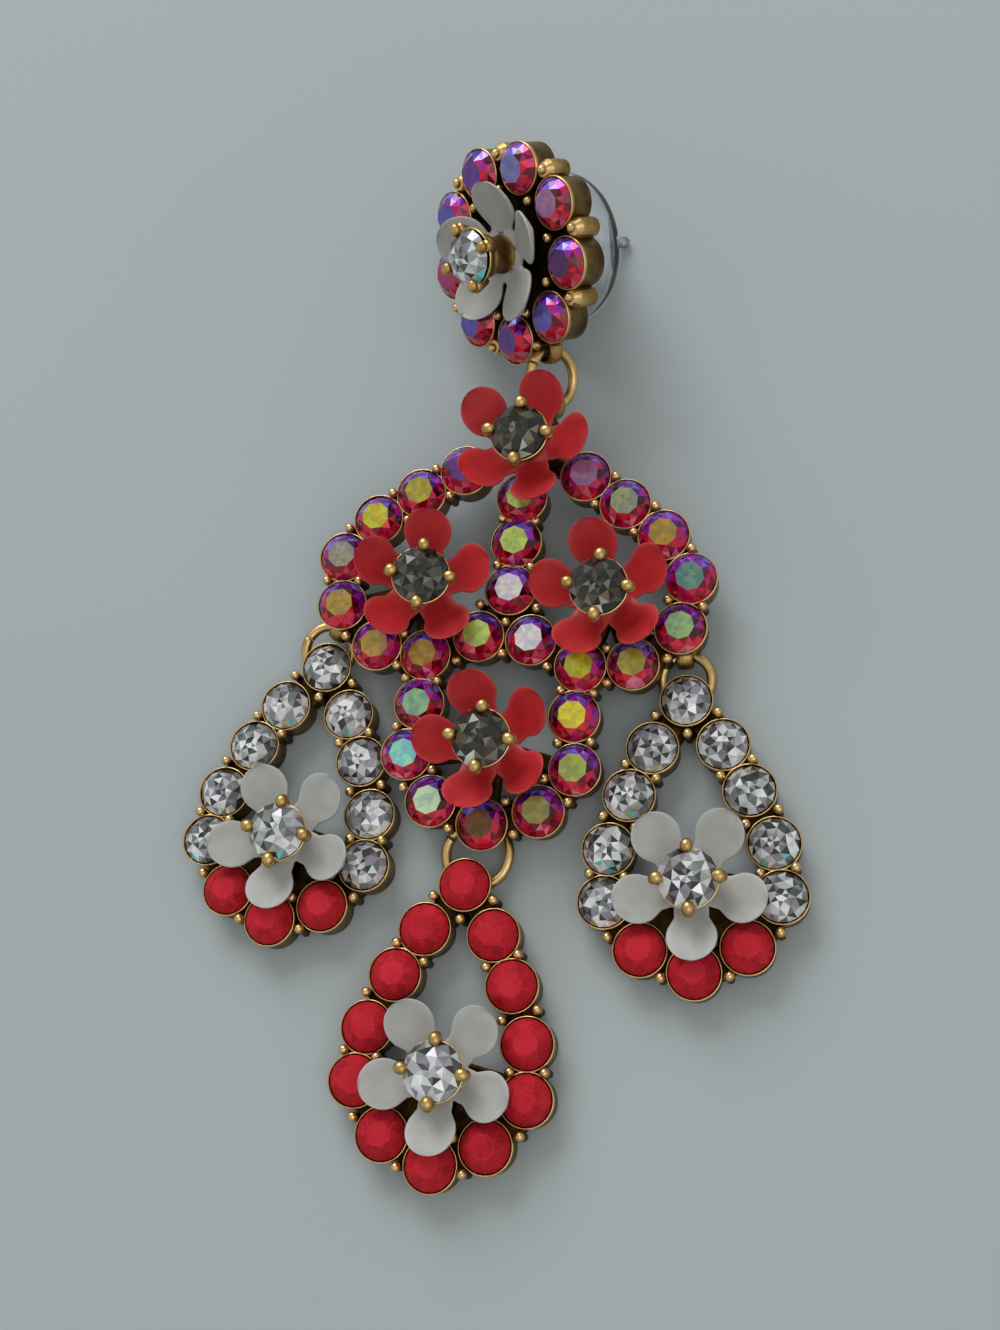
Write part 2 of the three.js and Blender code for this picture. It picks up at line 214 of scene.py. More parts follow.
def ball(radius: float, bottom_value: float, top_value: float, sides: int = 14, rings: int = 8) -> Shape:
    """A round bead, brighter towards its top: rubbed brass with a painted highlight.

    Args:
        radius: Its radius.
        bottom_value: Wear-and-sheen value at the bottom.
        top_value: Wear-and-sheen value at the top.
        sides: Steps around.
        rings: Steps from pole to pole.

    Returns:
        The bead, centred on the origin.
    """
    profile = []
    for i in range(rings + 1):
        angle = math.pi * i / rings - math.pi / 2
        share = i / rings
        across = 0.0 if i in (0, rings) else radius * math.cos(angle)
        profile.append((across, radius * math.sin(angle), bottom_value + (top_value - bottom_value) * share))
    return turned(profile, sides)


def bar(start: Spot, end: Spot, width: float, height: float, wear_and_sheen: float) -> Shape:
    """A bar on the casting's back, with chamfered top edges.

    Args:
        start: One end on the plan.
        end: The other end on the plan.
        width: Its width.
        height: Its height over the back.
        wear_and_sheen: The value of its top edges; the low values that links and struts get colour them
            dark brown.

    Returns:
        The bar.
    """
    along = Vector((end[0] - start[0], end[1] - start[1], 0))
    across = Vector((-along.y, along.x, 0)).normalized()
    cut = min(0.22, width / 4)
    section = [
        (-width / 2, 0.0, 0.1),
        (-width / 2, height - cut, 0.35),
        (-width / 2 + cut, height, wear_and_sheen),
        (width / 2 - cut, height, wear_and_sheen),
        (width / 2, height - cut, 0.35),
        (width / 2, 0.0, 0.1),
    ]
    shape = Shape()
    for origin in (Vector((*start, 0)), Vector((*end, 0))):
        for side, up, edge in section:
            shape.points.append(origin + across * side + Vector((0, 0, up)))
            shape.wear_and_sheen.append(edge)
    count = len(section)
    shape.faces += [(i, (i + 1) % count, count + (i + 1) % count, count + i) for i in range(count)]
    shape.faces += [tuple(range(count)), tuple(range(count, 2 * count))]
    return shape


def wire_arc(radius: float, tube: float, gap: float, around: int = 72, section: int = 14) -> Shape:
    """A round wire bent to a ring whose two ends almost meet.

    Args:
        radius: Radius of the wire's centre line.
        tube: Radius of the wire.
        gap: Angle left open between the ends, in degrees.
        around: Steps along the wire.
        section: Steps around the wire.

    Returns:
        The ring in the XY plane, with its ends closed.
    """
    shape = Shape()
    for i in range(around + 1):
        angle = math.radians(gap / 2 + (360 - gap) * i / around)
        out = Vector((math.cos(angle), math.sin(angle), 0))
        for j in range(section):
            turn = 2 * math.pi * j / section
            across, up = tube * math.cos(turn), tube * math.sin(turn)
            shape.points.append(out * (radius + across) + Vector((0, 0, up)))
            # Lighter on the wire's top and darker underneath: a painted highlight and a painted shade.
            shape.wear_and_sheen.append(0.62 + 0.3 * math.sin(turn))
    for i in range(around):
        for j in range(section):
            k = (j + 1) % section
            row = i * section
            shape.faces.append((row + j, row + k, row + section + k, row + section + j))
    shape.faces += [tuple(range(section)), tuple(range(around * section, (around + 1) * section))]
    return shape


def from_to(start: Vector, end: Vector) -> Matrix:
    """Where a piece along Z goes so that it runs from one point towards another.

    Args:
        start: The point its origin goes to.
        end: The point its Z axis runs towards.

    Returns:
        The placement.
    """
    turn = (end - start).to_track_quat("Z", "Y").to_matrix().to_4x4()
    return Matrix.Translation(start) @ turn


def finished(
    name: str, mesh: bpy.types.Mesh, material: bpy.types.Material, place: Matrix
) -> bpy.types.Object:
    """A finished object at the origin with its place in its mesh.

    Args:
        name: The piece's name.
        mesh: Its mesh in its assembly's millimetres.
        material: Its finish.
        place: The assembly's placement in metres.

    Returns:
        The object, linked to the scene.
    """
    mesh.transform(place)
    mesh.materials.clear()
    mesh.materials.append(material)
    mesh.name = name
    made = bpy.data.objects.new(name, mesh)
    bpy.context.scene.collection.objects.link(made)
    return made


def declare(piece: bpy.types.Object, slot: str, body: str, *nodes: str) -> None:
    """Hangs a piece on the empty of the body that it rides on and hides the nodes that it stands for.

    Args:
        piece: The piece.
        slot: Not used.
        body: The body that it rides on.
        nodes: The nodes that it replaces, if any.
    """
    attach(piece, body)
    if nodes:
        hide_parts(*nodes)
    LOG.info("%s: %d faces on %s", piece.name, len(piece.data.polygons), body)


# ---------------------------------------------------------------- finishes


class NodeBench:
    """Short hand for building a material's node tree."""

    def __init__(self, name: str) -> None:
        """Starts an empty material with a shader and an output.

        Args:
            name: The material's name.
        """
        self.material = bpy.data.materials.new(name)
        self.material.use_nodes = True
        self.tree = self.material.node_tree
        self.shader = self.tree.nodes["Principled BSDF"]

    def node(self, kind: str, **settings: object) -> bpy.types.Node:
        """Adds a node.

        Args:
            kind: The node's type name.
            settings: Attributes to set on it.

        Returns:
            The node.
        """
        made = self.tree.nodes.new(kind)
        for key, value in settings.items():
            setattr(made, key, value)
        return made

    def link(self, source: bpy.types.NodeSocket, target: bpy.types.NodeSocket) -> None:
        """Joins two sockets."""
        self.tree.links.new(source, target)

    def attribute(self, name: str) -> bpy.types.Node:
        """A node that reads a named attribute of the mesh."""
        return self.node("ShaderNodeAttribute", attribute_name=name)

    def math(self, operation: str, first: object, second: object) -> bpy.types.NodeSocket:
        """A math node on two values or sockets.

        Args:
            operation: The math operation.
            first: A socket or a number.
            second: A socket or a number.

        Returns:
            The result's socket.
        """
        made = self.node("ShaderNodeMath", operation=operation)
        for socket, value in zip(made.inputs, (first, second)):
            if isinstance(value, bpy.types.NodeSocket):
                self.link(value, socket)
            else:
                socket.default_value = value
        return made.outputs[0]

    def ramp(
        self, source: bpy.types.NodeSocket, stops: list[tuple[float, Colour]], mode: str = "LINEAR"
    ) -> bpy.types.NodeSocket:
        """A colour ramp.

        Args:
            source: What drives it.
            stops: (place, colour) rows in order.
            mode: How it blends between stops.

        Returns:
            The colour's socket.
        """
        made = self.node("ShaderNodeValToRGB")
        ramp = made.color_ramp
        ramp.interpolation = mode
        while len(ramp.elements) < len(stops):
            ramp.elements.new(1.0)
        for element, (place, colour) in zip(ramp.elements, stops):
            element.position = place
            element.color = colour
        self.link(source, made.inputs["Fac"])
        return made.outputs["Color"]

    def noise(self, scale: float, detail: float = 3.0) -> bpy.types.NodeSocket:
        """Noise over the object, with its size in features a metre.

        Args:
            scale: Features a metre.
            detail: Octaves.

        Returns:
            The value's socket.
        """
        place = self.node("ShaderNodeTexCoord")
        made = self.node("ShaderNodeTexNoise")
        made.inputs["Scale"].default_value = scale
        made.inputs["Detail"].default_value = detail
        self.link(place.outputs["Object"], made.inputs["Vector"])
        return made.outputs["Fac"]

    def bump(self, source: bpy.types.NodeSocket, height: float, strength: float) -> None:
        """Raises the surface by a pattern.

        Args:
            source: The pattern.
            height: Its height in metres.
            strength: Its share.
        """
        made = self.node("ShaderNodeBump")
        made.inputs["Distance"].default_value = height
        made.inputs["Strength"].default_value = strength
        self.link(source, made.inputs["Height"])
        self.link(made.outputs["Normal"], self.shader.inputs["Normal"])

    def set(self, **values: float | Colour) -> None:
        """Sets the shader's own sockets, with spaces written as underscores."""
        for key, value in values.items():
            self.shader.inputs[key.replace("_", " ")].default_value = value


@dataclass(frozen=True)
class AntiqueBrass:
    """Plated brass, dark brown with patina in the recesses and bright on edges, where it is rubbed and
    carries a painted highlight.
    """

    recess: Colour = srgb(34, 24, 13)
    shade: Colour = srgb(96, 70, 34)
    body: Colour = srgb(172, 134, 72)
    edge: Colour = srgb(240, 204, 140)
    patina_scale: float = 900.0
    patina_share: float = 0.55
    grain_scale: float = 2600.0
    grain_height: float = 0.00005

    def make(self) -> bpy.types.Material:
        """Builds the material.

        Returns:
            The material.
        """
        bench = NodeBench("antique_brass")
        patina = bench.math("SUBTRACT", bench.noise(self.patina_scale, 4), 0.5)
        spots = bench.math("MULTIPLY", patina, self.patina_share)
        wear_sheen_and_patina = bench.math("ADD", bench.attribute("wear_and_sheen").outputs["Fac"], spots)
        # The edge colour is rubbed brass with a painted highlight; the recess colour is patina.
        stops = [(0.06, self.recess), (0.32, self.shade), (0.62, self.body), (0.98, self.edge)]
        bench.link(bench.ramp(wear_sheen_and_patina, stops), bench.shader.inputs["Base Color"])
        rough = bench.math("SUBTRACT", 0.58, bench.math("MULTIPLY", wear_sheen_and_patina, 0.3))
        bench.link(rough, bench.shader.inputs["Roughness"])
        bench.set(Metallic=1.0)
        bench.bump(bench.noise(self.grain_scale, 3), self.grain_height, 0.35)
        return bench.material


@dataclass(frozen=True)
class SatinEnamel:
    """Satin paint on stamped metal, with a powdery grain and a painted highlight along its thin edges."""

    name: str
    colour: Colour
    deep: Colour
    edge: Colour
    cloud_scale: float = 700.0
    gloss_scale: float = 2400.0
    powder_scale: float = 5200.0
    powder_height: float = 0.00003

    def make(self) -> bpy.types.Material:
        """Builds the material.

        Returns:
            The material.
        """
        bench = NodeBench(self.name)
        cloud = bench.ramp(bench.noise(self.cloud_scale, 3), [(0.3, self.deep), (0.62, self.colour)])
        mix = bench.node("ShaderNodeMix", data_type="RGBA")
        # The edge colour is a painted highlight, laid on where the wear-and-sheen value is high.
        bench.link(bench.attribute("wear_and_sheen").outputs["Fac"], mix.inputs["Factor"])
        bench.link(cloud, mix.inputs["A"])
        mix.inputs["B"].default_value = self.edge
        bench.link(mix.outputs["Result"], bench.shader.inputs["Base Color"])
        rough = bench.math("ADD", 0.4, bench.math("MULTIPLY", bench.noise(self.gloss_scale, 2), 0.2))
        bench.link(rough, bench.shader.inputs["Roughness"])
        bench.bump(bench.noise(self.powder_scale, 2), self.powder_height, 0.3)
        return bench.material


@dataclass(frozen=True)
class CutGlass:
    """Foiled cut glass whose facets each carry one colour of a palette as a painted reflection, and whose
    table takes a share of its stone's painted table reflection.
    """

    name: str
    palette: tuple[tuple[float, Colour], ...]
    table_share: float
    metallic: float = 0.38
    grain_scale: float = 1500.0
    grain_share: float = 0.25

    def make(self) -> bpy.types.Material:
        """Builds the material.

        Returns:
            The material.
        """
        bench = NodeBench(self.name)
        facets = bench.ramp(bench.attribute("glint").outputs["Fac"], list(self.palette), "CONSTANT")
        table_reflection = bench.attribute("table_reflection")
        zone = bench.attribute("zone")
        mix = bench.node("ShaderNodeMix", data_type="RGBA")
        share = bench.math("MULTIPLY", zone.outputs["Fac"], self.table_share)
        patch = bench.ramp(bench.attribute("glint").outputs["Fac"], list(TABLE_REFLECTION_PATCHES), "CONSTANT")
        varied = bench.node("ShaderNodeMix", data_type="RGBA", blend_type="MULTIPLY")
        varied.inputs["Factor"].default_value = 1.0
        bench.link(table_reflection.outputs["Color"], varied.inputs["A"])
        bench.link(patch, varied.inputs["B"])
        bench.link(share, mix.inputs["Factor"])
        bench.link(facets, mix.inputs["A"])
        bench.link(varied.outputs["Result"], mix.inputs["B"])
        shade = bench.node("ShaderNodeMix", data_type="RGBA", blend_type="MULTIPLY")
        shade.inputs["Factor"].default_value = self.grain_share
        bench.link(mix.outputs["Result"], shade.inputs["A"])
        stops = [(0.35, srgb(160, 160, 168)), (0.6, srgb(255, 255, 255))]
        grain = bench.ramp(bench.noise(self.grain_scale, 2), stops)
        bench.link(grain, shade.inputs["B"])
        bench.link(shade.outputs["Result"], bench.shader.inputs["Base Color"])
        bench.set(Metallic=self.metallic, Roughness=0.2, Coat_Weight=0.5, Coat_Roughness=0.05)
        return bench.material


@dataclass(frozen=True)
class MatteCoral:
    """Cut stones under a powdery coral coating, with a painted highlight on the table and a painted shade
    that differs at random from facet to facet.
    """

    light: Colour = srgb(202, 34, 52)
    body: Colour = srgb(184, 22, 38)
    deep: Colour = srgb(152, 13, 27)
    cloud_scale: float = 800.0
    powder_scale: float = 7000.0
    powder_height: float = 0.00006
    grain_share: float = 0.4
    facet_shade_share: float = 0.2
    table_highlight: float = 0.07

    def make(self) -> bpy.types.Material:
        """Builds the material.

        Returns:
            The material.
        """
        bench = NodeBench("coral_stone")
        fine = bench.noise(self.powder_scale, 2)
        broad = bench.math("MULTIPLY", bench.noise(self.cloud_scale, 3), self.grain_share)
        grain = bench.math("ADD", broad, bench.math("MULTIPLY", fine, self.grain_share))
        # Each facet gets a random painted shade, and the table a painted highlight.
        facets = bench.math("MULTIPLY", bench.attribute("glint").outputs["Fac"], self.facet_shade_share)
        raised = bench.math("MULTIPLY", bench.attribute("zone").outputs["Fac"], self.table_highlight)
        mixed = bench.math("ADD", bench.math("ADD", grain, facets), raised)
        colour = bench.ramp(mixed, [(0.34, self.deep), (0.5, self.body), (0.66, self.light)])
        bench.link(colour, bench.shader.inputs["Base Color"])
        bench.set(Roughness=0.75, Specular_IOR_Level=0.25)
        bench.bump(fine, self.powder_height, 0.5)
        return bench.material


@dataclass(frozen=True)
class ClearPlastic:
    """Clear soft plastic with fine moulding haze."""

    haze_scale: float = 500.0
    smear_scale: float = 1800.0

    def make(self) -> bpy.types.Material:
        """Builds the material.

        Returns:
            The material.
        """
        bench = NodeBench("clear_plastic")
        stops = [(0.3, srgb(222, 228, 232)), (0.7, srgb(248, 250, 252))]
        haze = bench.ramp(bench.noise(self.haze_scale, 2), stops)
        bench.link(haze, bench.shader.inputs["Base Color"])
        rough = bench.math("MULTIPLY", bench.noise(self.smear_scale, 2), 0.12)
        bench.link(rough, bench.shader.inputs["Roughness"])
        bench.set(IOR=1.45, Transmission_Weight=1.0)
        return bench.material


@dataclass(frozen=True)
class BrightSteel:
    """Turned steel with dull patches."""

    light: Colour = srgb(196, 200, 206)
    dull: Colour = srgb(120, 126, 136)
    patch_scale: float = 1200.0
    gloss_scale: float = 2500.0

    def make(self) -> bpy.types.Material:
        """Builds the material.

        Returns:
            The material.
        """
        bench = NodeBench("steel")
        colour = bench.ramp(bench.noise(self.patch_scale, 3), [(0.35, self.dull), (0.65, self.light)])
        bench.link(colour, bench.shader.inputs["Base Color"])
        rough = bench.math("ADD", 0.2, bench.math("MULTIPLY", bench.noise(self.gloss_scale, 2), 0.2))
        bench.link(rough, bench.shader.inputs["Roughness"])
        bench.set(Metallic=1.0)
        return bench.material


@dataclass(frozen=True)
class PaleFloor:
    """A plain pale tabletop."""

    light: Colour = srgb(171, 179, 182)
    shade: Colour = srgb(166, 174, 177)
    cloud_scale: float = 9.0

    def make(self) -> bpy.types.Material:
        """Builds the material.

        Returns:
            The material.
        """
        bench = NodeBench("pale_floor")
        colour = bench.ramp(bench.noise(self.cloud_scale, 2), [(0.3, self.shade), (0.7, self.light)])
        bench.link(colour, bench.shader.inputs["Base Color"])
        bench.set(Roughness=0.85)
        return bench.material


# The last colour of each enamel is its painted edge highlight.
CORAL_ENAMEL = SatinEnamel("coral_enamel", srgb(192, 33, 40), srgb(174, 25, 33), srgb(212, 84, 82))
IVORY_ENAMEL = SatinEnamel("ivory_enamel", srgb(176, 176, 173), srgb(165, 164, 160), srgb(192, 192, 189))
# Painted reflection patches that vary the brightness and hue across each table.
TABLE_REFLECTION_PATCHES = (
    (0.0, srgb(255, 255, 255)),
    (0.3, srgb(232, 222, 240)),
    (0.5, srgb(255, 250, 236)),
    (0.72, srgb(222, 236, 214)),
    (0.86, srgb(255, 240, 255)),
)
# Facet colours of the cut glass: the glass's own colour mixed with painted reflections, from near black to
# white; the palest are painted highlights.
RED_PALETTE = (
    (0.0, srgb(60, 44, 150)),
    (0.08, srgb(128, 110, 236)),
    (0.18, srgb(96, 16, 130)),
    (0.28, srgb(160, 30, 190)),
    (0.36, srgb(70, 4, 38)),
    (0.46, srgb(196, 14, 110)),
    (0.55, srgb(116, 4, 30)),
    (0.64, srgb(226, 20, 62)),
    (0.75, srgb(152, 4, 34)),
    (0.83, srgb(250, 44, 78)),
    (0.91, srgb(204, 16, 76)),
    (0.96, srgb(255, 130, 160)),
)
CLEAR_PALETTE = (
    (0.0, srgb(38, 39, 40)),
    (0.08, srgb(138, 140, 140)),
    (0.18, srgb(86, 88, 90)),
    (0.27, srgb(192, 194, 194)),
    (0.37, srgb(154, 150, 164)),
    (0.46, srgb(58, 60, 60)),
    (0.52, srgb(226, 228, 228)),
    (0.62, srgb(122, 126, 124)),
    (0.69, srgb(252, 253, 255)),
    (0.77, srgb(172, 176, 174)),
    (0.84, srgb(255, 255, 255)),
    (0.94, srgb(200, 192, 150)),
    (0.97, srgb(120, 226, 230)),
)
SMOKY_PALETTE = (
    (0.0, srgb(18, 17, 14)),
    (0.2, srgb(56, 52, 42)),
    (0.34, srgb(30, 29, 24)),
    (0.48, srgb(88, 84, 70)),
    (0.6, srgb(44, 43, 35)),
    (0.72, srgb(128, 126, 112)),
    (0.83, srgb(78, 66, 42)),
    (0.9, srgb(172, 176, 166)),
    (0.96, srgb(244, 250, 246)),
)


class Finishes:
    """The finishes that the pieces share."""

    def __init__(self) -> None:
        """Builds every material once."""
        self.brass = AntiqueBrass().make()
        self.coral = CORAL_ENAMEL.make()
        self.ivory = IVORY_ENAMEL.make()
        self.red = CutGlass("red_glass", RED_PALETTE, 0.92).make()
        self.clear = CutGlass("clear_glass", CLEAR_PALETTE, 0.0).make()
        self.smoky = CutGlass("smoky_glass", SMOKY_PALETTE, 0.0).make()
        self.matte = MatteCoral().make()
        self.plastic = ClearPlastic().make()
        self.steel = BrightSteel().make()
        self.floor = PaleFloor().make()


# ---------------------------------------------------------------- stones


@dataclass(frozen=True)
class Brilliant:
    """A round stone with a flat table, star and kite facets and a pointed back."""

    radius: float
    table: float = 0.6
    crown: float = 0.46
    pavilion: float = 0.6
    sides: int = 8
    LEVEL: ClassVar[float] = 3.0
    STAR: ClassVar[float] = 0.48
    KITE_REACH: ClassVar[float] = 0.8
    KITE_HEIGHT: ClassVar[float] = 0.56
    BULGE: ClassVar[float] = 1.01

    def faces_of_crown(self) -> tuple[list[Vector], list[tuple[int, ...]], list[float]]:
        """Lays out the crown.

        Returns:
            Points, faces, and 1 for each face of the table or 0 for the others.
        """
        half = math.pi / self.sides
        tall = self.crown * self.radius

        def ring(count: int, radius: float, height: float, offset: float) -> list[Vector]:
            """Points on a level circle."""
            turns = [offset + i * (2 * math.pi / count) for i in range(count)]
            return [Vector((radius * math.cos(turn), radius * math.sin(turn), height)) for turn in turns]

        n = self.sides
        table = ring(n, self.table * self.radius, tall, 0)
        inner = ring(n, self.table * self.radius * self.STAR, tall, half)
        tips = ring(n, self.radius * self.KITE_REACH, tall * self.KITE_HEIGHT, half)
        girdle = ring(2 * n, self.radius, 0, 0)
        mids = [(table[k] + girdle[2 * k]) / 2 * self.BULGE for k in range(n)]
        points = [Vector((0, 0, tall))] + table + inner + tips + mids + girdle
        t, i, m, c, g = 1, 1 + n, 1 + 2 * n, 1 + 3 * n, 1 + 4 * n
        faces, zone = [], []
        for k in range(n):
            j = (k + 1) % n
            p = (k - 1) % n
            top = [(0, i + k, i + j), (i + k, t + k, t + j), (i + k, t + j, i + j)]
            low, between, after = g + 2 * k, g + 2 * k + 1, g + (2 * k + 2) % (2 * n)
            kite = [(t + k, c + k, m + k), (m + k, c + k, low), (low, c + k, m + p), (m + p, c + k, t + k)]
            rest = [(t + k, m + k, t + j), (m + k, low, between), (m + k, between, after)]
            faces += top + kite + rest
            zone += [1.0] * len(top) + [0.0] * len(kite + rest)
        return points, faces, zone

    def object(self, name: str, smooth_edge: float = 0.0) -> bpy.types.Object:
        """Builds the stone as a template with a zone value for each face.

        Args:
            name: The template's name.
            smooth_edge: Width of rounded edges, or 0 for sharp ones.

        Returns:
            The template, with its girdle at height 0.
        """
        points, faces, zone = self.faces_of_crown()
        count = 2 * self.sides
        girdle = len(points) - count
        culet = len(points)
        points.append(Vector((0, 0, -self.pavilion * self.radius)))
        for k in range(count):
            faces.append((girdle + k, culet, girdle + (k + 1) % count))
            zone.append(0.0)
        mesh = bpy.data.meshes.new(name)
        mesh.from_pydata([p[:] for p in points], [], faces)
        mesh.attributes.new("zone", "FLOAT", "FACE").data.foreach_set("value", zone)
        stone = bmesh.new()
        stone.from_mesh(mesh)
        bmesh.ops.recalc_face_normals(stone, faces=stone.faces[:])
        if smooth_edge:
            bmesh.ops.dissolve_limit(
                stone, angle_limit=math.radians(self.LEVEL), verts=stone.verts[:], edges=stone.edges[:]
            )
            bmesh.ops.bevel(
                stone, geom=stone.edges[:], offset=smooth_edge, segments=2, profile=0.5, affect="EDGES"
            )
            for face in stone.faces:
                face.smooth = True
        stone.to_mesh(mesh)
        stone.free()
        made = bpy.data.objects.new(name, mesh)
        bpy.context.scene.collection.objects.link(made)
        return made


# ---------------------------------------------------------------- repeated pieces by nodes


class SetterTree:
    """Node trees that set a template on every point of a plan, or beads beside every edge of it."""

    NEAREST = 0.8
    PAINTED_BRIGHT_SIDE = (0.1, -1.0, 0.0)
    SIDE_SHARE = 0.75
    SWAY = (1.0, 1.0, 40.0)

    def __init__(self, name: str, beside_edges: bool) -> None:
        """Builds the tree.

        Args:
            name: The tree's name.
            beside_edges: True to set two copies beside each edge, False for one on each point.
        """
        self.tree = bpy.data.node_groups.new(name, "GeometryNodeTree")
        self.sockets: dict[str, str] = {}
        self.tree.interface.new_socket("Geometry", in_out="OUTPUT", socket_type="NodeSocketGeometry")
        for label, kind in (
            ("Plan", "Geometry"), ("Template", "Object"), ("Finish", "Material"), ("Seed", "Int"),
            ("Unevenness", "Float"), ("Offset", "Float"), ("Lift", "Float"), ("Order", "Float"),
        ):
            made = self.tree.interface.new_socket(label, in_out="INPUT", socket_type=f"NodeSocket{kind}")
            self.sockets[label] = made.identifier
        self.inputs = self.tree.nodes.new("NodeGroupInput")
        points = self._beside_edges() if beside_edges else self.inputs.outputs["Plan"]
        self._finish(self._instances(points))

    def _add(self, kind: str, **settings: object) -> bpy.types.Node:
        """Adds a node with some settings.

        Args:
            kind: The node's type name.
            settings: Attributes to set on it.

        Returns:
            The node.
        """
        made = self.tree.nodes.new(kind)
        for key, value in settings.items():
            setattr(made, key, value)
        return made

    def _link(self, source: bpy.types.NodeSocket, target: bpy.types.NodeSocket) -> None:
        """Joins two sockets."""
        self.tree.links.new(source, target)

    def _named(self, name: str, kind: str) -> bpy.types.NodeSocket:
        """Reads a named attribute.

        Args:
            name: The attribute's name.
            kind: Its data type.

        Returns:
            Its socket.
        """
        made = self._add("GeometryNodeInputNamedAttribute", data_type=kind)
        made.inputs["Name"].default_value = name
        return made.outputs["Attribute"]

    def _vector(
        self, operation: str, first: object, second: object, scale: object = None
    ) -> bpy.types.NodeSocket:
        """A vector math node.

        Args:
            operation: The operation.
            first: A socket or a vector.
            second: A socket or a vector, or None.
            scale: A socket or a number for SCALE, or None.

        Returns:
            The result's socket.
        """
        made = self._add("ShaderNodeVectorMath", operation=operation)
        for socket, value in ((made.inputs[0], first), (made.inputs[1], second), (made.inputs[-1], scale)):
            if isinstance(value, bpy.types.NodeSocket):
                self._link(value, socket)
            elif value is not None:
                socket.default_value = value
        return made.outputs["Value" if operation == "DOT_PRODUCT" else "Vector"]

    def _math(self, operation: str, first: object, second: object) -> bpy.types.NodeSocket:
        """A math node on two values or sockets.

        Args:
            operation: The math operation.
            first: A socket or a number.
            second: A socket or a number.

        Returns:
            The result's socket.
        """
        made = self._add("ShaderNodeMath", operation=operation)
        for socket, value in zip(made.inputs, (first, second)):
            if isinstance(value, bpy.types.NodeSocket):
                self._link(value, socket)
            else:
                socket.default_value = value
        return made.outputs[0]

    def _beside_edges(self) -> bpy.types.NodeSocket:
        """Points on both sides of each edge's middle.

        Returns:
            The points' socket.
        """
        ends = self._add("GeometryNodeInputMeshEdgeVertices")
        along = self._vector("SUBTRACT", ends.outputs["Position 2"], ends.outputs["Position 1"])
        across = self._vector("NORMALIZE", self._vector("CROSS_PRODUCT", along, (0, 0, 1)), None)
        store = self._add("GeometryNodeStoreNamedAttribute", data_type="FLOAT_VECTOR", domain="EDGE")
        store.inputs["Name"].default_value = "across"
        self._link(self.inputs.outputs["Plan"], store.inputs["Geometry"])
        self._link(across, store.inputs["Value"])
        middles = self._add("GeometryNodeMeshToPoints", mode="EDGES")
        self._link(store.outputs["Geometry"], middles.inputs["Mesh"])
        both = self._add("GeometryNodeJoinGeometry")
        for side in (1.0, -1.0):
            shift = self._vector("SCALE", self._named("across", "FLOAT_VECTOR"), None,
                                 self._math("MULTIPLY", self.inputs.outputs["Offset"], side))
            move = self._add("GeometryNodeSetPosition")
            self._link(middles.outputs["Points"], move.inputs["Geometry"])
            self._link(shift, move.inputs["Offset"])
            self._link(move.outputs["Geometry"], both.inputs["Geometry"])
        merge = self._add("GeometryNodeMergeByDistance")
        self._link(both.outputs["Geometry"], merge.inputs["Geometry"])
        merge.inputs["Distance"].default_value = self.NEAREST
        return merge.outputs["Geometry"]

    def _random(self, low: object, high: object, kind: str, by_index: bool) -> bpy.types.NodeSocket:
        """Seeded random values.

        Args:
            low: Lowest value or its socket.
            high: Highest value or its socket.
            kind: FLOAT or FLOAT_VECTOR.
            by_index: Whether each element has its own value.

        Returns:
            The values' socket.
        """
        made = self._add("FunctionNodeRandomValue", data_type=kind)
        live = [s for s in made.inputs if s.enabled]
        for socket, value in zip(live, (low, high)):
            if isinstance(value, bpy.types.NodeSocket):
                self._link(value, socket)
            else:
                socket.default_value = value
        self._link(self.inputs.outputs["Seed"], made.inputs["Seed"])
        if by_index:
            self._link(self._add("GeometryNodeInputIndex").outputs[0], made.inputs["ID"])
        return next(s for s in made.outputs if s.enabled)

    def _instances(self, points: bpy.types.NodeSocket) -> bpy.types.NodeSocket:
        """Copies of the template on the points, raised, turned and slightly tilted.

        Args:
            points: Where they go.

        Returns:
            The copies' socket.
        """
        raised = self._add("GeometryNodeSetPosition")
        lift = self._add("ShaderNodeCombineXYZ")
        self._link(self.inputs.outputs["Lift"], lift.inputs["Z"])
        self._link(points, raised.inputs["Geometry"])
        self._link(lift.outputs["Vector"], raised.inputs["Offset"])
        template = self._add("GeometryNodeObjectInfo")
        self._link(self.inputs.outputs["Template"], template.inputs["Object"])
        sway = self._random(tuple(-most for most in self.SWAY), self.SWAY, "FLOAT_VECTOR", True)
        turn = self._vector("SCALE", sway, None, self.inputs.outputs["Unevenness"])
        copies = self._add("GeometryNodeInstanceOnPoints")
        self._link(raised.outputs["Geometry"], copies.inputs["Points"])
        self._link(template.outputs["Geometry"], copies.inputs["Instance"])
        self._link(turn, copies.inputs["Rotation"])
        return copies.outputs["Instances"]

    def _finish(self, copies: bpy.types.NodeSocket) -> None:
        """Realizes the copies, gives each face its glint, a painted reflection value that rises on faces
        turned towards the painted bright side, and sets the material.

        Args:
            copies: The copies' socket.
        """
        real = self._add("GeometryNodeRealizeInstances")
        self._link(copies, real.inputs["Geometry"])
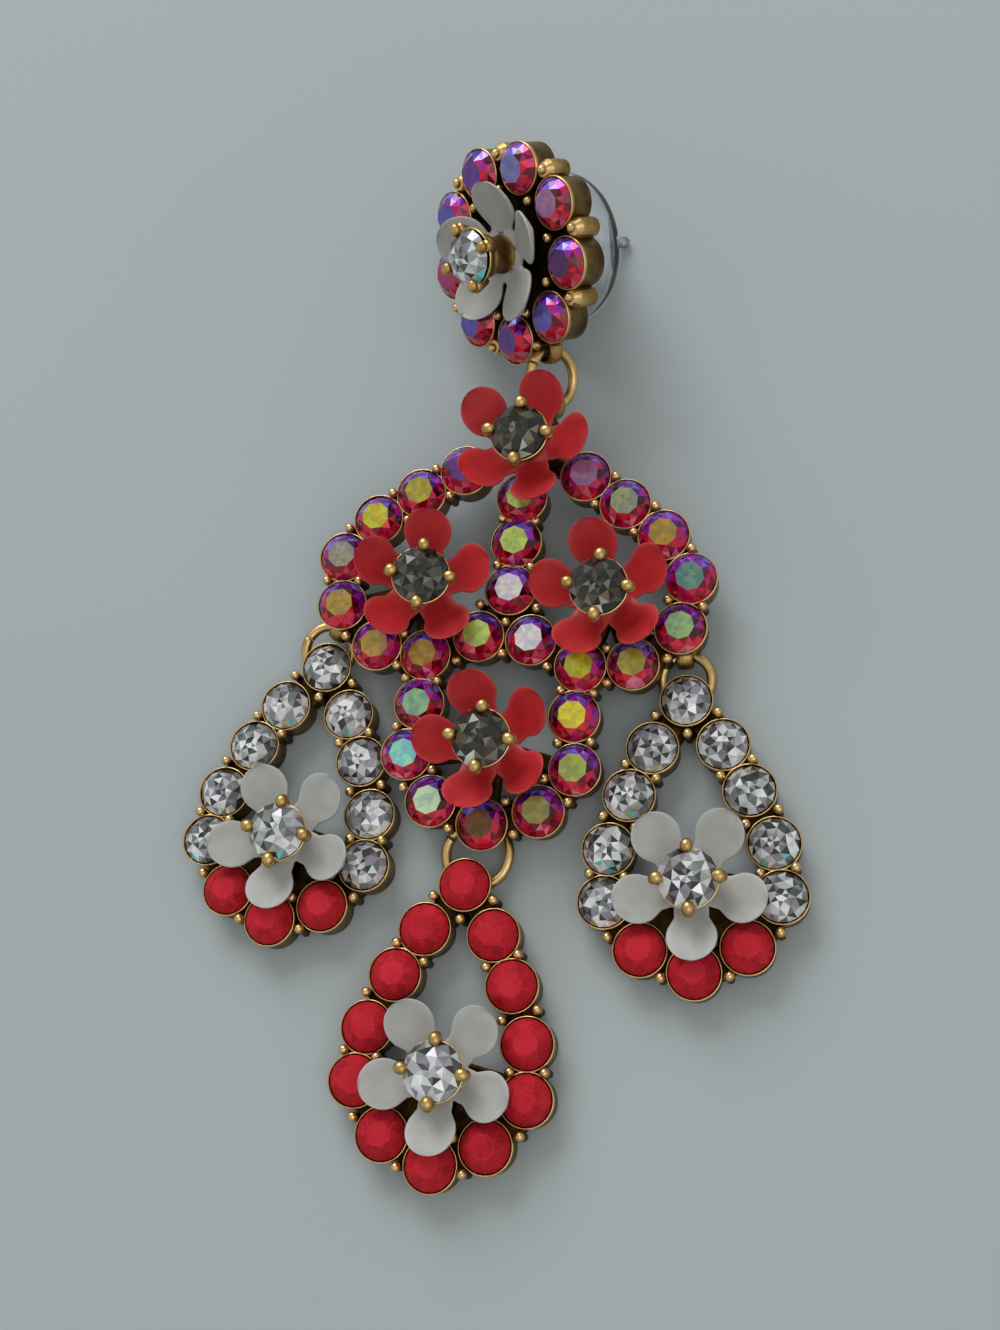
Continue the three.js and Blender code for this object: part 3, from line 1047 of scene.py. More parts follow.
        # Faces turned towards the painted bright side get higher glints: painted reflections that follow
        # the facets' facing.
        normal = self._add("GeometryNodeInputNormal").outputs["Normal"]
        facing = self._vector("DOT_PRODUCT", normal, self.PAINTED_BRIGHT_SIDE)
        order = self.inputs.outputs["Order"]
        by_side = self._math("ADD", 0.5, self._math("MULTIPLY", facing, self.SIDE_SHARE))
        sorted_part = self._math("MULTIPLY", by_side, order)
        rest = self._math("SUBTRACT", 1.0, order)
        free_part = self._math("MULTIPLY", self._random(0.0, 1.0, "FLOAT", True), rest)
        store = self._add("GeometryNodeStoreNamedAttribute", data_type="FLOAT", domain="FACE")
        store.inputs["Name"].default_value = "glint"
        self._link(real.outputs["Geometry"], store.inputs["Geometry"])
        self._link(self._math("ADD", sorted_part, free_part), store.inputs["Value"])
        finish = self._add("GeometryNodeSetMaterial")
        self._link(store.outputs["Geometry"], finish.inputs["Geometry"])
        self._link(self.inputs.outputs["Finish"], finish.inputs["Material"])
        output = self.tree.nodes.new("NodeGroupOutput")
        self._link(finish.outputs["Geometry"], output.inputs["Geometry"])

    def set_on(self, plan: bpy.types.Mesh, template: bpy.types.Object, material: bpy.types.Material,
               **values: float) -> bpy.types.Mesh:
        """Runs the tree on a plan.

        Args:
            plan: The points, and edges if copies go beside them.
            template: What is copied.
            material: Its finish.
            values: Other inputs by their labels.

        Returns:
            A plain mesh of all the copies.
        """
        holder = bpy.data.objects.new("plan", plan)
        bpy.context.scene.collection.objects.link(holder)
        modifier = holder.modifiers.new("setter", "NODES")
        modifier.node_group = self.tree
        modifier[self.sockets["Template"]] = template
        modifier[self.sockets["Finish"]] = material
        for label, value in values.items():
            modifier[self.sockets[label]] = value
        graph = bpy.context.evaluated_depsgraph_get()
        mesh = bpy.data.meshes.new_from_object(
            holder.evaluated_get(graph), preserve_all_data_layers=True, depsgraph=graph
        )
        holder.modifiers.clear()
        bpy.data.objects.remove(holder)
        return mesh


# ---------------------------------------------------------------- castings


@dataclass(frozen=True)
class Seat:
    """One stone's place on a casting's plan."""

    x: float
    y: float
    cut: Cut
    table_reflection: TableReflection = TableReflection.WHITE
    short: bool = False


@dataclass
class Templates:
    """The pieces that repeat: stones, cups and beads."""

    cup_radius: float = 1.95
    cup_height: float = 2.3
    short_foot: float = 1.75
    stone_radius: float = 1.84
    clear_radius: float = 1.78
    coral_radius: float = 1.82
    coral_bevel: float = 0.07
    bead_radius: float = 0.37
    bead_top: float = 2.66
    cup: bpy.types.Object | None = None
    short_cup: bpy.types.Object | None = None
    bead: bpy.types.Object | None = None
    stones: dict[Cut, bpy.types.Object] = field(default_factory=dict)
    on_points: SetterTree | None = None
    beside_edges: SetterTree | None = None

    def build(self) -> Templates:
        """Builds every template and both trees.

        Returns:
            Itself.
        """
        self.cup = self._hidden("cup_template", self._cup(0.0))
        self.short_cup = self._hidden("short_cup_template", self._cup(self.short_foot))
        self.bead = self._hidden("bead_template", self._bead())
        self.stones[Cut.RED] = Brilliant(self.stone_radius, table=0.58).object("red_template")
        self.stones[Cut.CLEAR] = Brilliant(self.clear_radius, table=0.54).object("clear_template")
        coral = Brilliant(self.coral_radius, table=0.5, crown=0.52)
        self.stones[Cut.CORAL] = coral.object("coral_template", self.coral_bevel)
        self.on_points = SetterTree("set_on_points", False)
        self.beside_edges = SetterTree("set_beside_edges", True)
        return self

    def _hidden(self, name: str, shape: Shape) -> bpy.types.Object:
        """A template object of a shape.

        Args:
            name: Its name.
            shape: Its shape.

        Returns:
            The template.
        """
        made = bpy.data.objects.new(name, shape.mesh(name))
        bpy.context.scene.collection.objects.link(made)
        return made

    def _cup(self, foot: float) -> Shape:
        """A round cup with a thin bright rim.

        Args:
            foot: The height of its foot over the casting's back.

        Returns:
            The cup.
        """
        radius, top = self.cup_radius, self.cup_height
        profile = [
            (0.0, foot, 0.12),
            (radius - 0.25, foot, 0.12),
            (radius - 0.12, foot + 0.1, 0.35),
            (radius - 0.1, top - 0.45, 0.5),
            (radius - 0.0, top - 0.28, 0.75),
            (radius + 0.01, top - 0.1, 0.95),
            (radius - 0.04, top - 0.04, 0.95),
            (radius - 0.09, top - 0.05, 0.6),
            (radius - 0.14, top - 0.3, 0.1),
            (radius - 0.5, top - 0.7, 0.0),
            (0.0, top - 1.0 if foot == 0.0 else foot + 0.2, 0.0),
        ]
        return turned(profile, 32)

    def _bead(self) -> Shape:
        """A prong: a short post with a round head.

        Returns:
            The prong.
        """
        r = self.bead_radius
        head = self.bead_top - r
        profile = [(0.0, 0.4, 0.1), (0.8 * r, 0.4, 0.1), (0.8 * r, head - 0.5 * r, 0.35)]
        # The head is brighter towards its top: rubbed brass with a painted highlight.
        for i in range(6):
            angle = math.radians(-30 + 24 * i)
            across = r * math.cos(angle) if i < 5 else 0.0
            profile.append((across, head + r * math.sin(angle), 0.55 + 0.1 * i))
        return turned(profile, 14)

    def clear_away(self) -> None:
        """Removes the templates once every casting is built."""
        for template in [self.cup, self.short_cup, self.bead, *self.stones.values()]:
            bpy.data.objects.remove(template)


@dataclass
class Casting:
    """A flat openwork casting: cups, links, bead prongs, struts and stones."""

    name: str
    node: str
    seats: list[Seat]
    place: Matrix
    seed: int
    reach: float = 4.4
    link_width: float = 2.2
    link_height: float = 1.5
    bead_offset: float = 1.25
    struts: list[tuple[Spot, Spot, float]] = field(default_factory=list)
    strut_height: float = 1.3
    boss_radius: float = 1.5
    bosses: list[tuple[float, float, float]] = field(default_factory=list)
    extra: Shape = field(default_factory=Shape)

    def links(self) -> list[tuple[int, int]]:
        """Finds the neighbouring seats.

        Returns:
            Pairs of their places in the list.
        """
        pairs = []
        for i, seat in enumerate(self.seats):
            for j in range(i + 1, len(self.seats)):
                other = self.seats[j]
                if math.hypot(seat.x - other.x, seat.y - other.y) < self.reach:
                    pairs.append((i, j))
        return pairs

    def _plan(self, seats: list[Seat], edges: list[tuple[int, int]]) -> bpy.types.Mesh:
        """A plan mesh of seats with each stone's painted table reflection.

        Args:
            seats: The seats that are its points.
            edges: Its edges.

        Returns:
            The plan.
        """
        mesh = bpy.data.meshes.new("plan")
        mesh.from_pydata([(s.x, s.y, 0) for s in seats], edges, [])
        table_reflection = mesh.attributes.new("table_reflection", "FLOAT_COLOR", "POINT")
        for item, seat in zip(table_reflection.data, seats):
            item.color = seat.table_reflection.value
        return mesh

    def metal(self, kit: Templates, finishes: Finishes) -> bpy.types.Object:
        """Builds the metal as one piece.

        Args:
            kit: The repeated pieces.
            finishes: The materials.

        Returns:
            The piece.
        """
        body = Shape().add(self.extra)
        for i, j in self.links():
            a, b = self.seats[i], self.seats[j]
            body.add(bar((a.x, a.y), (b.x, b.y), self.link_width, self.link_height, 0.14))
        for start, end, width in self.struts:
            body.add(bar(start, end, width, self.strut_height, 0.16))
        for x, y, top in self.bosses:
            r = self.boss_radius
            profile = [
                (0.0, 0.0, 0.1), (r, 0.0, 0.1), (r, top - 0.2, 0.3), (r - 0.2, top, 0.3), (0.0, top, 0.2),
            ]
            body.add(turned(profile, 24), Matrix.Translation((x, y, 0)))
        joined = bmesh.new()
        joined.from_mesh(body.mesh("body", False))
        full = [s for s in self.seats if not s.short]
        short = [s for s in self.seats if s.short]
        for seats, template in ((full, kit.cup), (short, kit.short_cup)):
            if seats:
                plan = self._plan(seats, [])
                joined.from_mesh(kit.on_points.set_on(plan, template, finishes.brass, Seed=self.seed))
        beads = kit.beside_edges.set_on(
            self._plan(self.seats, self.links()), kit.bead, finishes.brass,
            Seed=self.seed, Offset=self.bead_offset, Unevenness=0.03,
        )
        joined.from_mesh(beads)
        mesh = bpy.data.meshes.new(self.name)
        joined.to_mesh(mesh)
        joined.free()
        return finished(f"{self.name}_metal", mesh, finishes.brass, self.place)

    def stones(self, cut: Cut, kit: Templates, finishes: Finishes) -> bpy.types.Object:
        """Builds the stones of one cut as one piece.

        Args:
            cut: Which stones.
            kit: The repeated pieces.
            finishes: The materials.

        Returns:
            The piece.
        """
        seats = [s for s in self.seats if s.cut is cut]
        material = {Cut.RED: finishes.red, Cut.CLEAR: finishes.clear, Cut.CORAL: finishes.matte}[cut]
        lift = kit.cup_height - {Cut.RED: 0.1, Cut.CLEAR: 0.1, Cut.CORAL: 0.12}[cut]
        order = {Cut.RED: 0.62, Cut.CLEAR: 0.42, Cut.CORAL: 0.0}[cut]
        mesh = kit.on_points.set_on(
            self._plan(seats, []), kit.stones[cut], material,
            Seed=self.seed + len(cut.value), Unevenness=0.045, Lift=lift, Order=order,
        )
        return finished(f"{self.name}_{cut.value}_stones", mesh, material, self.place)

    def build(self, kit: Templates, finishes: Finishes) -> None:
        """Args:
            kit: The repeated pieces.
            finishes: The materials.
        """
        declare(self.metal(kit, finishes), "antique_brass", "earring", self.node)
        slots = {Cut.RED: "red_glass", Cut.CLEAR: "clear_glass", Cut.CORAL: "coral_stone"}
        for cut in Cut:
            if any(s.cut is cut for s in self.seats):
                declare(self.stones(cut, kit, finishes), slots[cut], "earring")


# ---------------------------------------------------------------- flowers


@dataclass(frozen=True)
class PetalStyle:
    """Sizes of one kind of petal sheet."""

    radius: float
    reach: float
    rise: float
    foot: float
    cupping: float
    sheet: float = 0.42
    hub: float = 2.2
    root: float = 0.9
    neck: float = 1.1
    count: int = 5
    flat: float = 0.35
    easing: float = 0.7
    steepness: float = 1.13
    dimple: float = 0.08
    lip: float = 0.1


CORAL_PETALS = PetalStyle(radius=1.78, reach=3.7, rise=36, foot=2.85, cupping=0.3, neck=1.3)
IVORY_PETALS = PetalStyle(radius=1.76, reach=3.85, rise=16, foot=2.65, cupping=0.22, neck=1.2)
STUD_PETALS = PetalStyle(radius=1.95, reach=3.6, rise=26, foot=2.3, cupping=0.3)


@dataclass
class Flower:
    """A sheet of five petals under a crown setting with a round stone."""

    name: str
    style: PetalStyle
    petals: bpy.types.Material
    petal_slot: str
    stone: bpy.types.Material
    stone_slot: str
    place: Matrix
    turn: float
    seed: int
    rise: float = 0.0
    stone_radius: float = 2.12
    claws: int = 4
    claw_tip: float = 0.46
    gap: float = 0.3
    crown_depth: float = 1.1
    crown_foot: float = 1.3
    crown_rim: float = 2.18

    def _petal(self, lift: float) -> Shape:
        """One petal as a closed curved sheet along X.

        Args:
            lift: A small extra rise of its tip.

        Returns:
            The petal.
        """
        s = self.style
        long_steps, cross_steps = 18, 10
        slope = math.tan(math.radians(s.rise))
        centre, half_long = s.reach, s.radius * math.cos(math.radians(s.rise))
        end = centre + half_long
        rows: list[list[tuple[Vector, float]]] = []
        for i in range(long_steps + 1):
            share = i / long_steps
            x = s.root + (end - s.root) * math.sin(share * math.pi / 2)
            inside = 1 - ((x - centre) / half_long) ** 2
            oval = s.radius * math.sqrt(inside) if inside > 0 else 0.0
            half = max(oval, s.neck) if x < centre else max(oval, 0.02)
            bend = max(0.0, x - s.hub + s.flat)
            up = slope * (bend * bend / (bend + s.easing)) * s.steepness
            row = []
            for j in range(cross_steps + 1):
                v = 2 * j / cross_steps - 1
                v = math.sin(v * math.pi / 2)
                hollow = s.dimple * math.sin(math.pi * min(1, bend / 3))
                cup = s.cupping * v * v * min(1.0, bend / 2) - hollow
                rim = max(abs(v) ** 8, share ** 14)
                row.append((Vector((x, v * half, s.foot + up + cup + lift * bend / 3)), rim))
            rows.append(row)
        shape = Shape()
        count = cross_steps + 1
        for side, thick in ((0, 0.0), (1, s.sheet)):
            for row in rows:
                for j, (p, rim) in enumerate(row):
                    edge = s.lip * rim * (1 if side == 0 else -1)
                    shape.points.append(p + Vector((0, 0, thick + edge)))
                    # A painted highlight along the rim of the petal's top; its underside keeps a low value.
                    shape.wear_and_sheen.append(0.55 * rim if side else 0.2)
        total = count * len(rows)
        for i in range(len(rows) - 1):
            for j in range(cross_steps):
                a, b = i * count + j, (i + 1) * count + j
                shape.faces.append((a, a + 1, b + 1, b))
                shape.faces.append((total + a, total + b, total + b + 1, total + a + 1))
        border = [i * count for i in range(len(rows))]
        border += [(len(rows) - 1) * count + j for j in range(1, count)]
        border += [i * count + cross_steps for i in range(len(rows) - 2, -1, -1)]
        border += list(range(cross_steps - 1, 0, -1))
        for a, b in zip(border, border[1:] + border[:1]):
            shape.faces.append((a, b, total + b, total + a))
        return shape

    def sheet(self) -> bpy.types.Object:
        """Builds the petals round their hub.

        Returns:
            The piece.
        """
        s = self.style
        low, high = s.foot, s.foot + s.sheet
        hub = turned([(0.0, low, 0.2), (s.hub - 0.2, low, 0.2), (s.hub - 0.05, (low + high) / 2, 0.3),
                      (s.hub - 0.2, high, 0.1), (0.0, high, 0.0)], 32)
        whole = Shape().add(hub)
        for i in range(s.count):
            wobble = math.sin(self.seed * 1.7 + i * 2.3)
            petal = self._petal(0.12 * wobble)
            spin = Matrix.Rotation(math.radians(self.turn + 360 / s.count * i + 1.5 * wobble), 4, "Z")
            whole.add(petal, spin)
        return finished(f"{self.name}_petals", whole.mesh("petals"), self.petals, self.place)

    def setting(self, brass: bpy.types.Material) -> bpy.types.Object:
        """Builds the crown: an open cone, a galleried foot and four claws with round tips.

        Args:
            brass: Its material.

        Returns:
            The piece.
        """
        base = self.style.foot + self.style.sheet
        foot = base + self.gap + self.rise
        rim = foot + self.crown_depth
        r0, r1 = self.crown_foot, self.crown_rim
        profile = [
            (0.0, base - 0.1, 0.1), (r0 + 0.15, base - 0.1, 0.2),
            (r0 + 0.15, base + 0.12, 0.6), (r0, base + 0.2, 0.3),
        ]
        if self.rise:
            profile += [
                (r0 + 0.1, foot - 0.4, 0.45), (r0 + 0.35, foot - 0.25, 0.75), (r0 + 0.2, foot - 0.05, 0.4),
            ]
        profile += [
            (r0 + 0.12, foot + 0.1, 0.4), (r1 - 0.12, rim - 0.25, 0.55),
            (r1, rim - 0.1, 0.85), (r1 - 0.02, rim + 0.02, 1.0),
            (r1 - 0.16, rim, 0.9), (r1 - 0.3, rim - 0.3, 0.2),
            (r0 - 0.3, foot + 0.3, 0.0), (0.0, foot + 0.3, 0.0),
        ]
        whole = turned(profile, 36)
        girdle = self.girdle()
        for i in range(self.claws):
            spin = Matrix.Rotation(2 * math.pi * i / self.claws, 4, "Z")
            low = Vector((r1 - 0.35, 0, rim - 0.75))
            high = Vector((self.stone_radius + 0.24, 0, girdle + 0.2))
            length = (high - low).length
            claw = [
                (0.0, 0.0, 0.3), (0.34, 0.0, 0.3), (0.4, length * 0.5, 0.5),
                (0.42, length, 0.75), (0.0, length, 0.75),
            ]
            whole.add(turned(claw, 14), spin @ from_to(low, high))
            tip = ball(self.claw_tip, 0.4, 0.85, 16, 10)
            squash = Matrix.Diagonal((1.1, 1.0, 0.82, 1.0))
            whole.add(tip, spin @ Matrix.Translation(high + Vector((-0.2, 0, 0.22))) @ squash)
        return finished(f"{self.name}_setting", whole.mesh("setting"), brass, self.place)

    def girdle(self) -> float:
        """Height of the stone's widest line."""
        return self.style.foot + self.style.sheet + self.gap + self.rise + self.crown_depth + 0.28

    def chaton(self, tree: SetterTree) -> bpy.types.Object:
        """Builds the round stone.

        Args:
            tree: The tree that gives its facets their glints.

        Returns:
            The piece.
        """
        cut = Brilliant(self.stone_radius, table=0.5, crown=0.42, pavilion=0.52)
        template = cut.object("chaton_template")
        plan = bpy.data.meshes.new("plan")
        plan.from_pydata([(0, 0, self.girdle())], [], [])
        mesh = tree.set_on(plan, template, self.stone, Seed=self.seed, Unevenness=0.03, Order=0.3)
        bpy.data.objects.remove(template)
        return finished(f"{self.name}_stone", mesh, self.stone, self.place)

    def build(self, node: str, kit: Templates, finishes: Finishes) -> None:
        """Args:
            node: The ending of the nodes that they stand for.
            kit: The repeated pieces.
            finishes: The materials.
        """
        declare(self.sheet(), self.petal_slot, "earring", f"petals_{node}")
        declare(self.setting(finishes.brass), "antique_brass", "earring", f"setting_{node}")
        declare(self.chaton(kit.on_points), self.stone_slot, "earring", f"stone_{node}")


# ---------------------------------------------------------------- rings


@dataclass(frozen=True)
class Ring:
    """A wire ring and the angles at which castings hold it."""

    node: str
    x: float
    y: float
    z: float
    radius: float
    incline: float = 0.0
    roll: float = 0.0
    wire: float = 0.38
    opening: float = 150.0
    gap: float = 1.6
    bail_radius: float = 0.87
    bail_wire: float = 0.19
    bail_half_width: float = 0.6
    bail_steps: int = 12

    def matrix(self) -> Matrix:
        """Its placement in the design's millimetres."""
        return placement(self.x, self.y, self.z, 0.0, self.incline, self.roll)

    def build(self, design: Matrix, finishes: Finishes) -> None:
        """Args:
            design: From the design's millimetres to the frame's metres.
            finishes: The materials.
        """
        spin = Matrix.Rotation(math.radians(self.opening), 4, "Z")
        arc = Shape().add(wire_arc(self.radius, self.wire, self.gap), spin)
        piece = finished(f"{self.node}_wire", arc.mesh("wire"), finishes.brass, design @ self.matrix())
        declare(piece, "antique_brass", "earring", self.node)

    def bail(self, degrees: float) -> Shape:
        """The loop around the wire at an angle, in the design's millimetres.

        Args:
            degrees: The angle around the ring.

        Returns:
            The loop.
        """
        profile = []
        for i in range(self.bail_steps):
            turn = 2 * math.pi * i / self.bail_steps
            radius = self.bail_radius + self.bail_wire * math.cos(turn)
            profile.append((radius, self.bail_half_width * math.sin(turn), 0.45 + 0.25 * math.cos(turn)))
        loop = turned(profile, 28, closed=True)
        spin = Matrix.Rotation(math.radians(degrees), 4, "Z") @ Matrix.Translation((self.radius, 0, 0))
        return Shape().add(loop, self.matrix() @ spin @ Matrix.Rotation(math.pi / 2, 4, "X"))


def placement(x: float, y: float, z: float, turn: float, incline: float = 0.0, roll: float = 0.0) -> Matrix:
    """A place in millimetres, turned about Z, then inclined about X and rolled about Y.

    Args:
        x: Place along X.
        y: Place along Y.
        z: Height.
        turn: Degrees about Z.
        incline: Degrees about the piece's X.
        roll: Degrees about the piece's Y.

    Returns:
        The placement.
    """
    spin = Matrix.Rotation(math.radians(turn), 4, "Z") @ Matrix.Rotation(math.radians(incline), 4, "X")
    return Matrix.Translation((x, y, z)) @ spin @ Matrix.Rotation(math.radians(roll), 4, "Y")


LEFT_RING = Ring("jump_ring_left", x=-12.6, y=1.5, z=1.3, radius=1.9, incline=7)
RIGHT_RING = Ring("jump_ring_right", x=14.9, y=-0.7, z=1.3, radius=1.8, incline=7)
BOTTOM_RING = Ring("jump_ring_bottom", x=0.15, y=-13.95, z=1.12, radius=2.35)
STUD_RING = Ring("link_ring_stud", x=4.2, y=22.1, z=4.9, radius=2.1, incline=22, roll=50)


# ---------------------------------------------------------------- assemblies


def mirrored(rows: list[tuple[float, float, TableReflection, TableReflection]], cut: Cut) -> list[Seat]:
    """Seats on both sides of the middle line.

    Args:
        rows: (x, y, painted table reflection on the left, painted table reflection on the right) rows.
        cut: The stones' cut.

    Returns:
        The seats.
    """
    left = [Seat(-x, y, cut, table_reflection) for x, y, table_reflection, _ in rows]
    right = [Seat(x, y, cut, table_reflection) for x, y, _, table_reflection in rows]
    return left + right


@dataclass
class MainFrame:
    """The openwork frame with its red stones and four coral flowers."""

    design: Matrix
    place: tuple[float, float, float, float, float] = (2.55, 14.6, 2.42, -4.2, 4.5)
    strut_width: float = 1.3
    setting_rise: float = 0.9
    seed: int = 11
    flower_seed: int = 21
    bails: tuple[tuple[Ring, float], ...] = (
        (LEFT_RING, 62), (RIGHT_RING, 96), (BOTTOM_RING, 66), (STUD_RING, 270),
    )

    def seats(self) -> list[Seat]:
        """Every stone's place and painted table reflection.

        Returns:
            The seats.
        """
        rows = [
            (4.65, 0.0, TableReflection.PURPLE, TableReflection.LILAC),
            (7.86, -1.97, TableReflection.STRAW, TableReflection.MIST),
            (10.95, -4.2, TableReflection.YELLOW, TableReflection.OLIVE),
            (13.26, -7.33, TableReflection.CHALK, TableReflection.TEAL),
            (12.88, -11.07, TableReflection.OCHRE, TableReflection.FERN),
            (9.72, -13.98, TableReflection.OCHRE, TableReflection.STRAW),
            (5.87, -14.43, TableReflection.GOLD, TableReflection.YELLOW),
            (1.98, -12.73, TableReflection.LIME, TableReflection.WHITE),
            (5.85, -18.15, TableReflection.SAGE, TableReflection.SUN),
            (6.33, -22.0, TableReflection.MINT, TableReflection.REED),
            (4.03, -25.25, TableReflection.GREEN, TableReflection.MOSS),
        ]
        middle = [
            Seat(0, -1.95, Cut.RED, TableReflection.LIME),
            Seat(0, -5.42, Cut.RED, TableReflection.LIME),
            Seat(0, -9.06, Cut.RED, TableReflection.WHITE),
            Seat(0, -26.57, Cut.RED, TableReflection.BRONZE, True),
        ]
        return mirrored(rows, Cut.RED) + middle

    def flowers(self) -> list[tuple[str, float, float, float, float, list[tuple[float, float]]]]:
        """The four flowers and the struts under them.

        Returns:
            Name, place, turn, lean and strut ends of each flower.
        """
        side = [(12.88, -11.07), (9.72, -13.98), (5.87, -14.43)]
        return [
            ("apex", 0, 2, 75.5, 0, [(4.65, 0), (-4.65, 0), (0, -1.95), (1.05, 5.0)]),
            ("left", -7.2, -9.2, 91, 12, [(-x, y) for x, y in side]),
            ("right", 7.2, -9.2, 104, 0, side),
            ("lower", 0, -20.8, 112, 0, [(6.33, -22), (-6.33, -22), (0, -26.57)]),
        ]

    def build(self, kit: Templates, finishes: Finishes) -> None:
        """Builds the casting and its flowers.

        Args:
            kit: The repeated pieces.
            finishes: The materials.
        """
        own = placement(*self.place)
        extra = Shape()
        for ring, degrees in self.bails:
            extra.add(ring.bail(degrees), own.inverted())
        rows = self.flowers()
        struts = [((x, y), end, self.strut_width) for _, x, y, _, _, ends in rows for end in ends]
        bosses = [(x, y, CORAL_PETALS.foot) for _, x, y, _, _, _ in rows]
        casting = Casting("main_frame", "main_frame", self.seats(), self.design @ own, self.seed,
                          struts=struts, bosses=bosses, extra=extra)
        casting.build(kit, finishes)
        for i, (name, x, y, turn, lean, _) in enumerate(rows):
            at = self.design @ own @ placement(x, y, 0, 0, 0, lean)
            flower = Flower(name, CORAL_PETALS, finishes.coral, "coral_enamel",
                            finishes.smoky, "smoky_glass", at, turn, self.flower_seed + i,
                            rise=self.setting_rise)
            flower.build(name, kit, finishes)


@dataclass
class Teardrop:
    """One teardrop casting with its ivory flower."""

    name: str
    design: Matrix
    x: float
    y: float
    turn: float
    ring: Ring
    bail_at: float
    sides: Cut
    seed: int
    flower_y: float = -13.3
    strut_width: float = 2.6

    def seats(self) -> list[Seat]:
        """Every stone's place. The three lowest are coral on every drop.

        Returns:
            The seats.
        """
        plan = [(2.53, -3.4), (4.28, -6.8), (5.82, -10.65), (6.2, -14.4)]
        rows = [(x, y, TableReflection.WHITE, TableReflection.WHITE) for x, y in plan]
        low = [(3.72, -17.8, TableReflection.WHITE, TableReflection.WHITE)]
        ends = [Seat(0, 0, self.sides, short=True), Seat(0, -19.45, Cut.CORAL)]
        return mirrored(rows, self.sides) + mirrored(low, Cut.CORAL) + ends

    def build(self, kit: Templates, finishes: Finishes) -> None:
        """Builds the casting and its flower.

        Args:
            kit: The repeated pieces.
            finishes: The materials.
        """
        own = placement(self.x, self.y, 0, self.turn)
        seats = self.seats()
        middle = (0, self.flower_y)
        struts = [(middle, (s.x, s.y), self.strut_width) for s in seats if s.y < self.flower_y]
        extra = Shape().add(self.ring.bail(self.bail_at), own.inverted())
        node = f"drop_{self.name}"
        casting = Casting(node, node, seats, self.design @ own, self.seed, struts=struts,
                          bosses=[(0, self.flower_y, IVORY_PETALS.foot)], extra=extra)
        casting.build(kit, finishes)
        at = self.design @ own @ Matrix.Translation((0, self.flower_y, 0))
        flower = Flower(f"{node}_flower", IVORY_PETALS, finishes.ivory, "ivory_enamel",
                        finishes.clear, "clear_glass", at, -90, self.seed + 5)
        flower.build(node, kit, finishes)


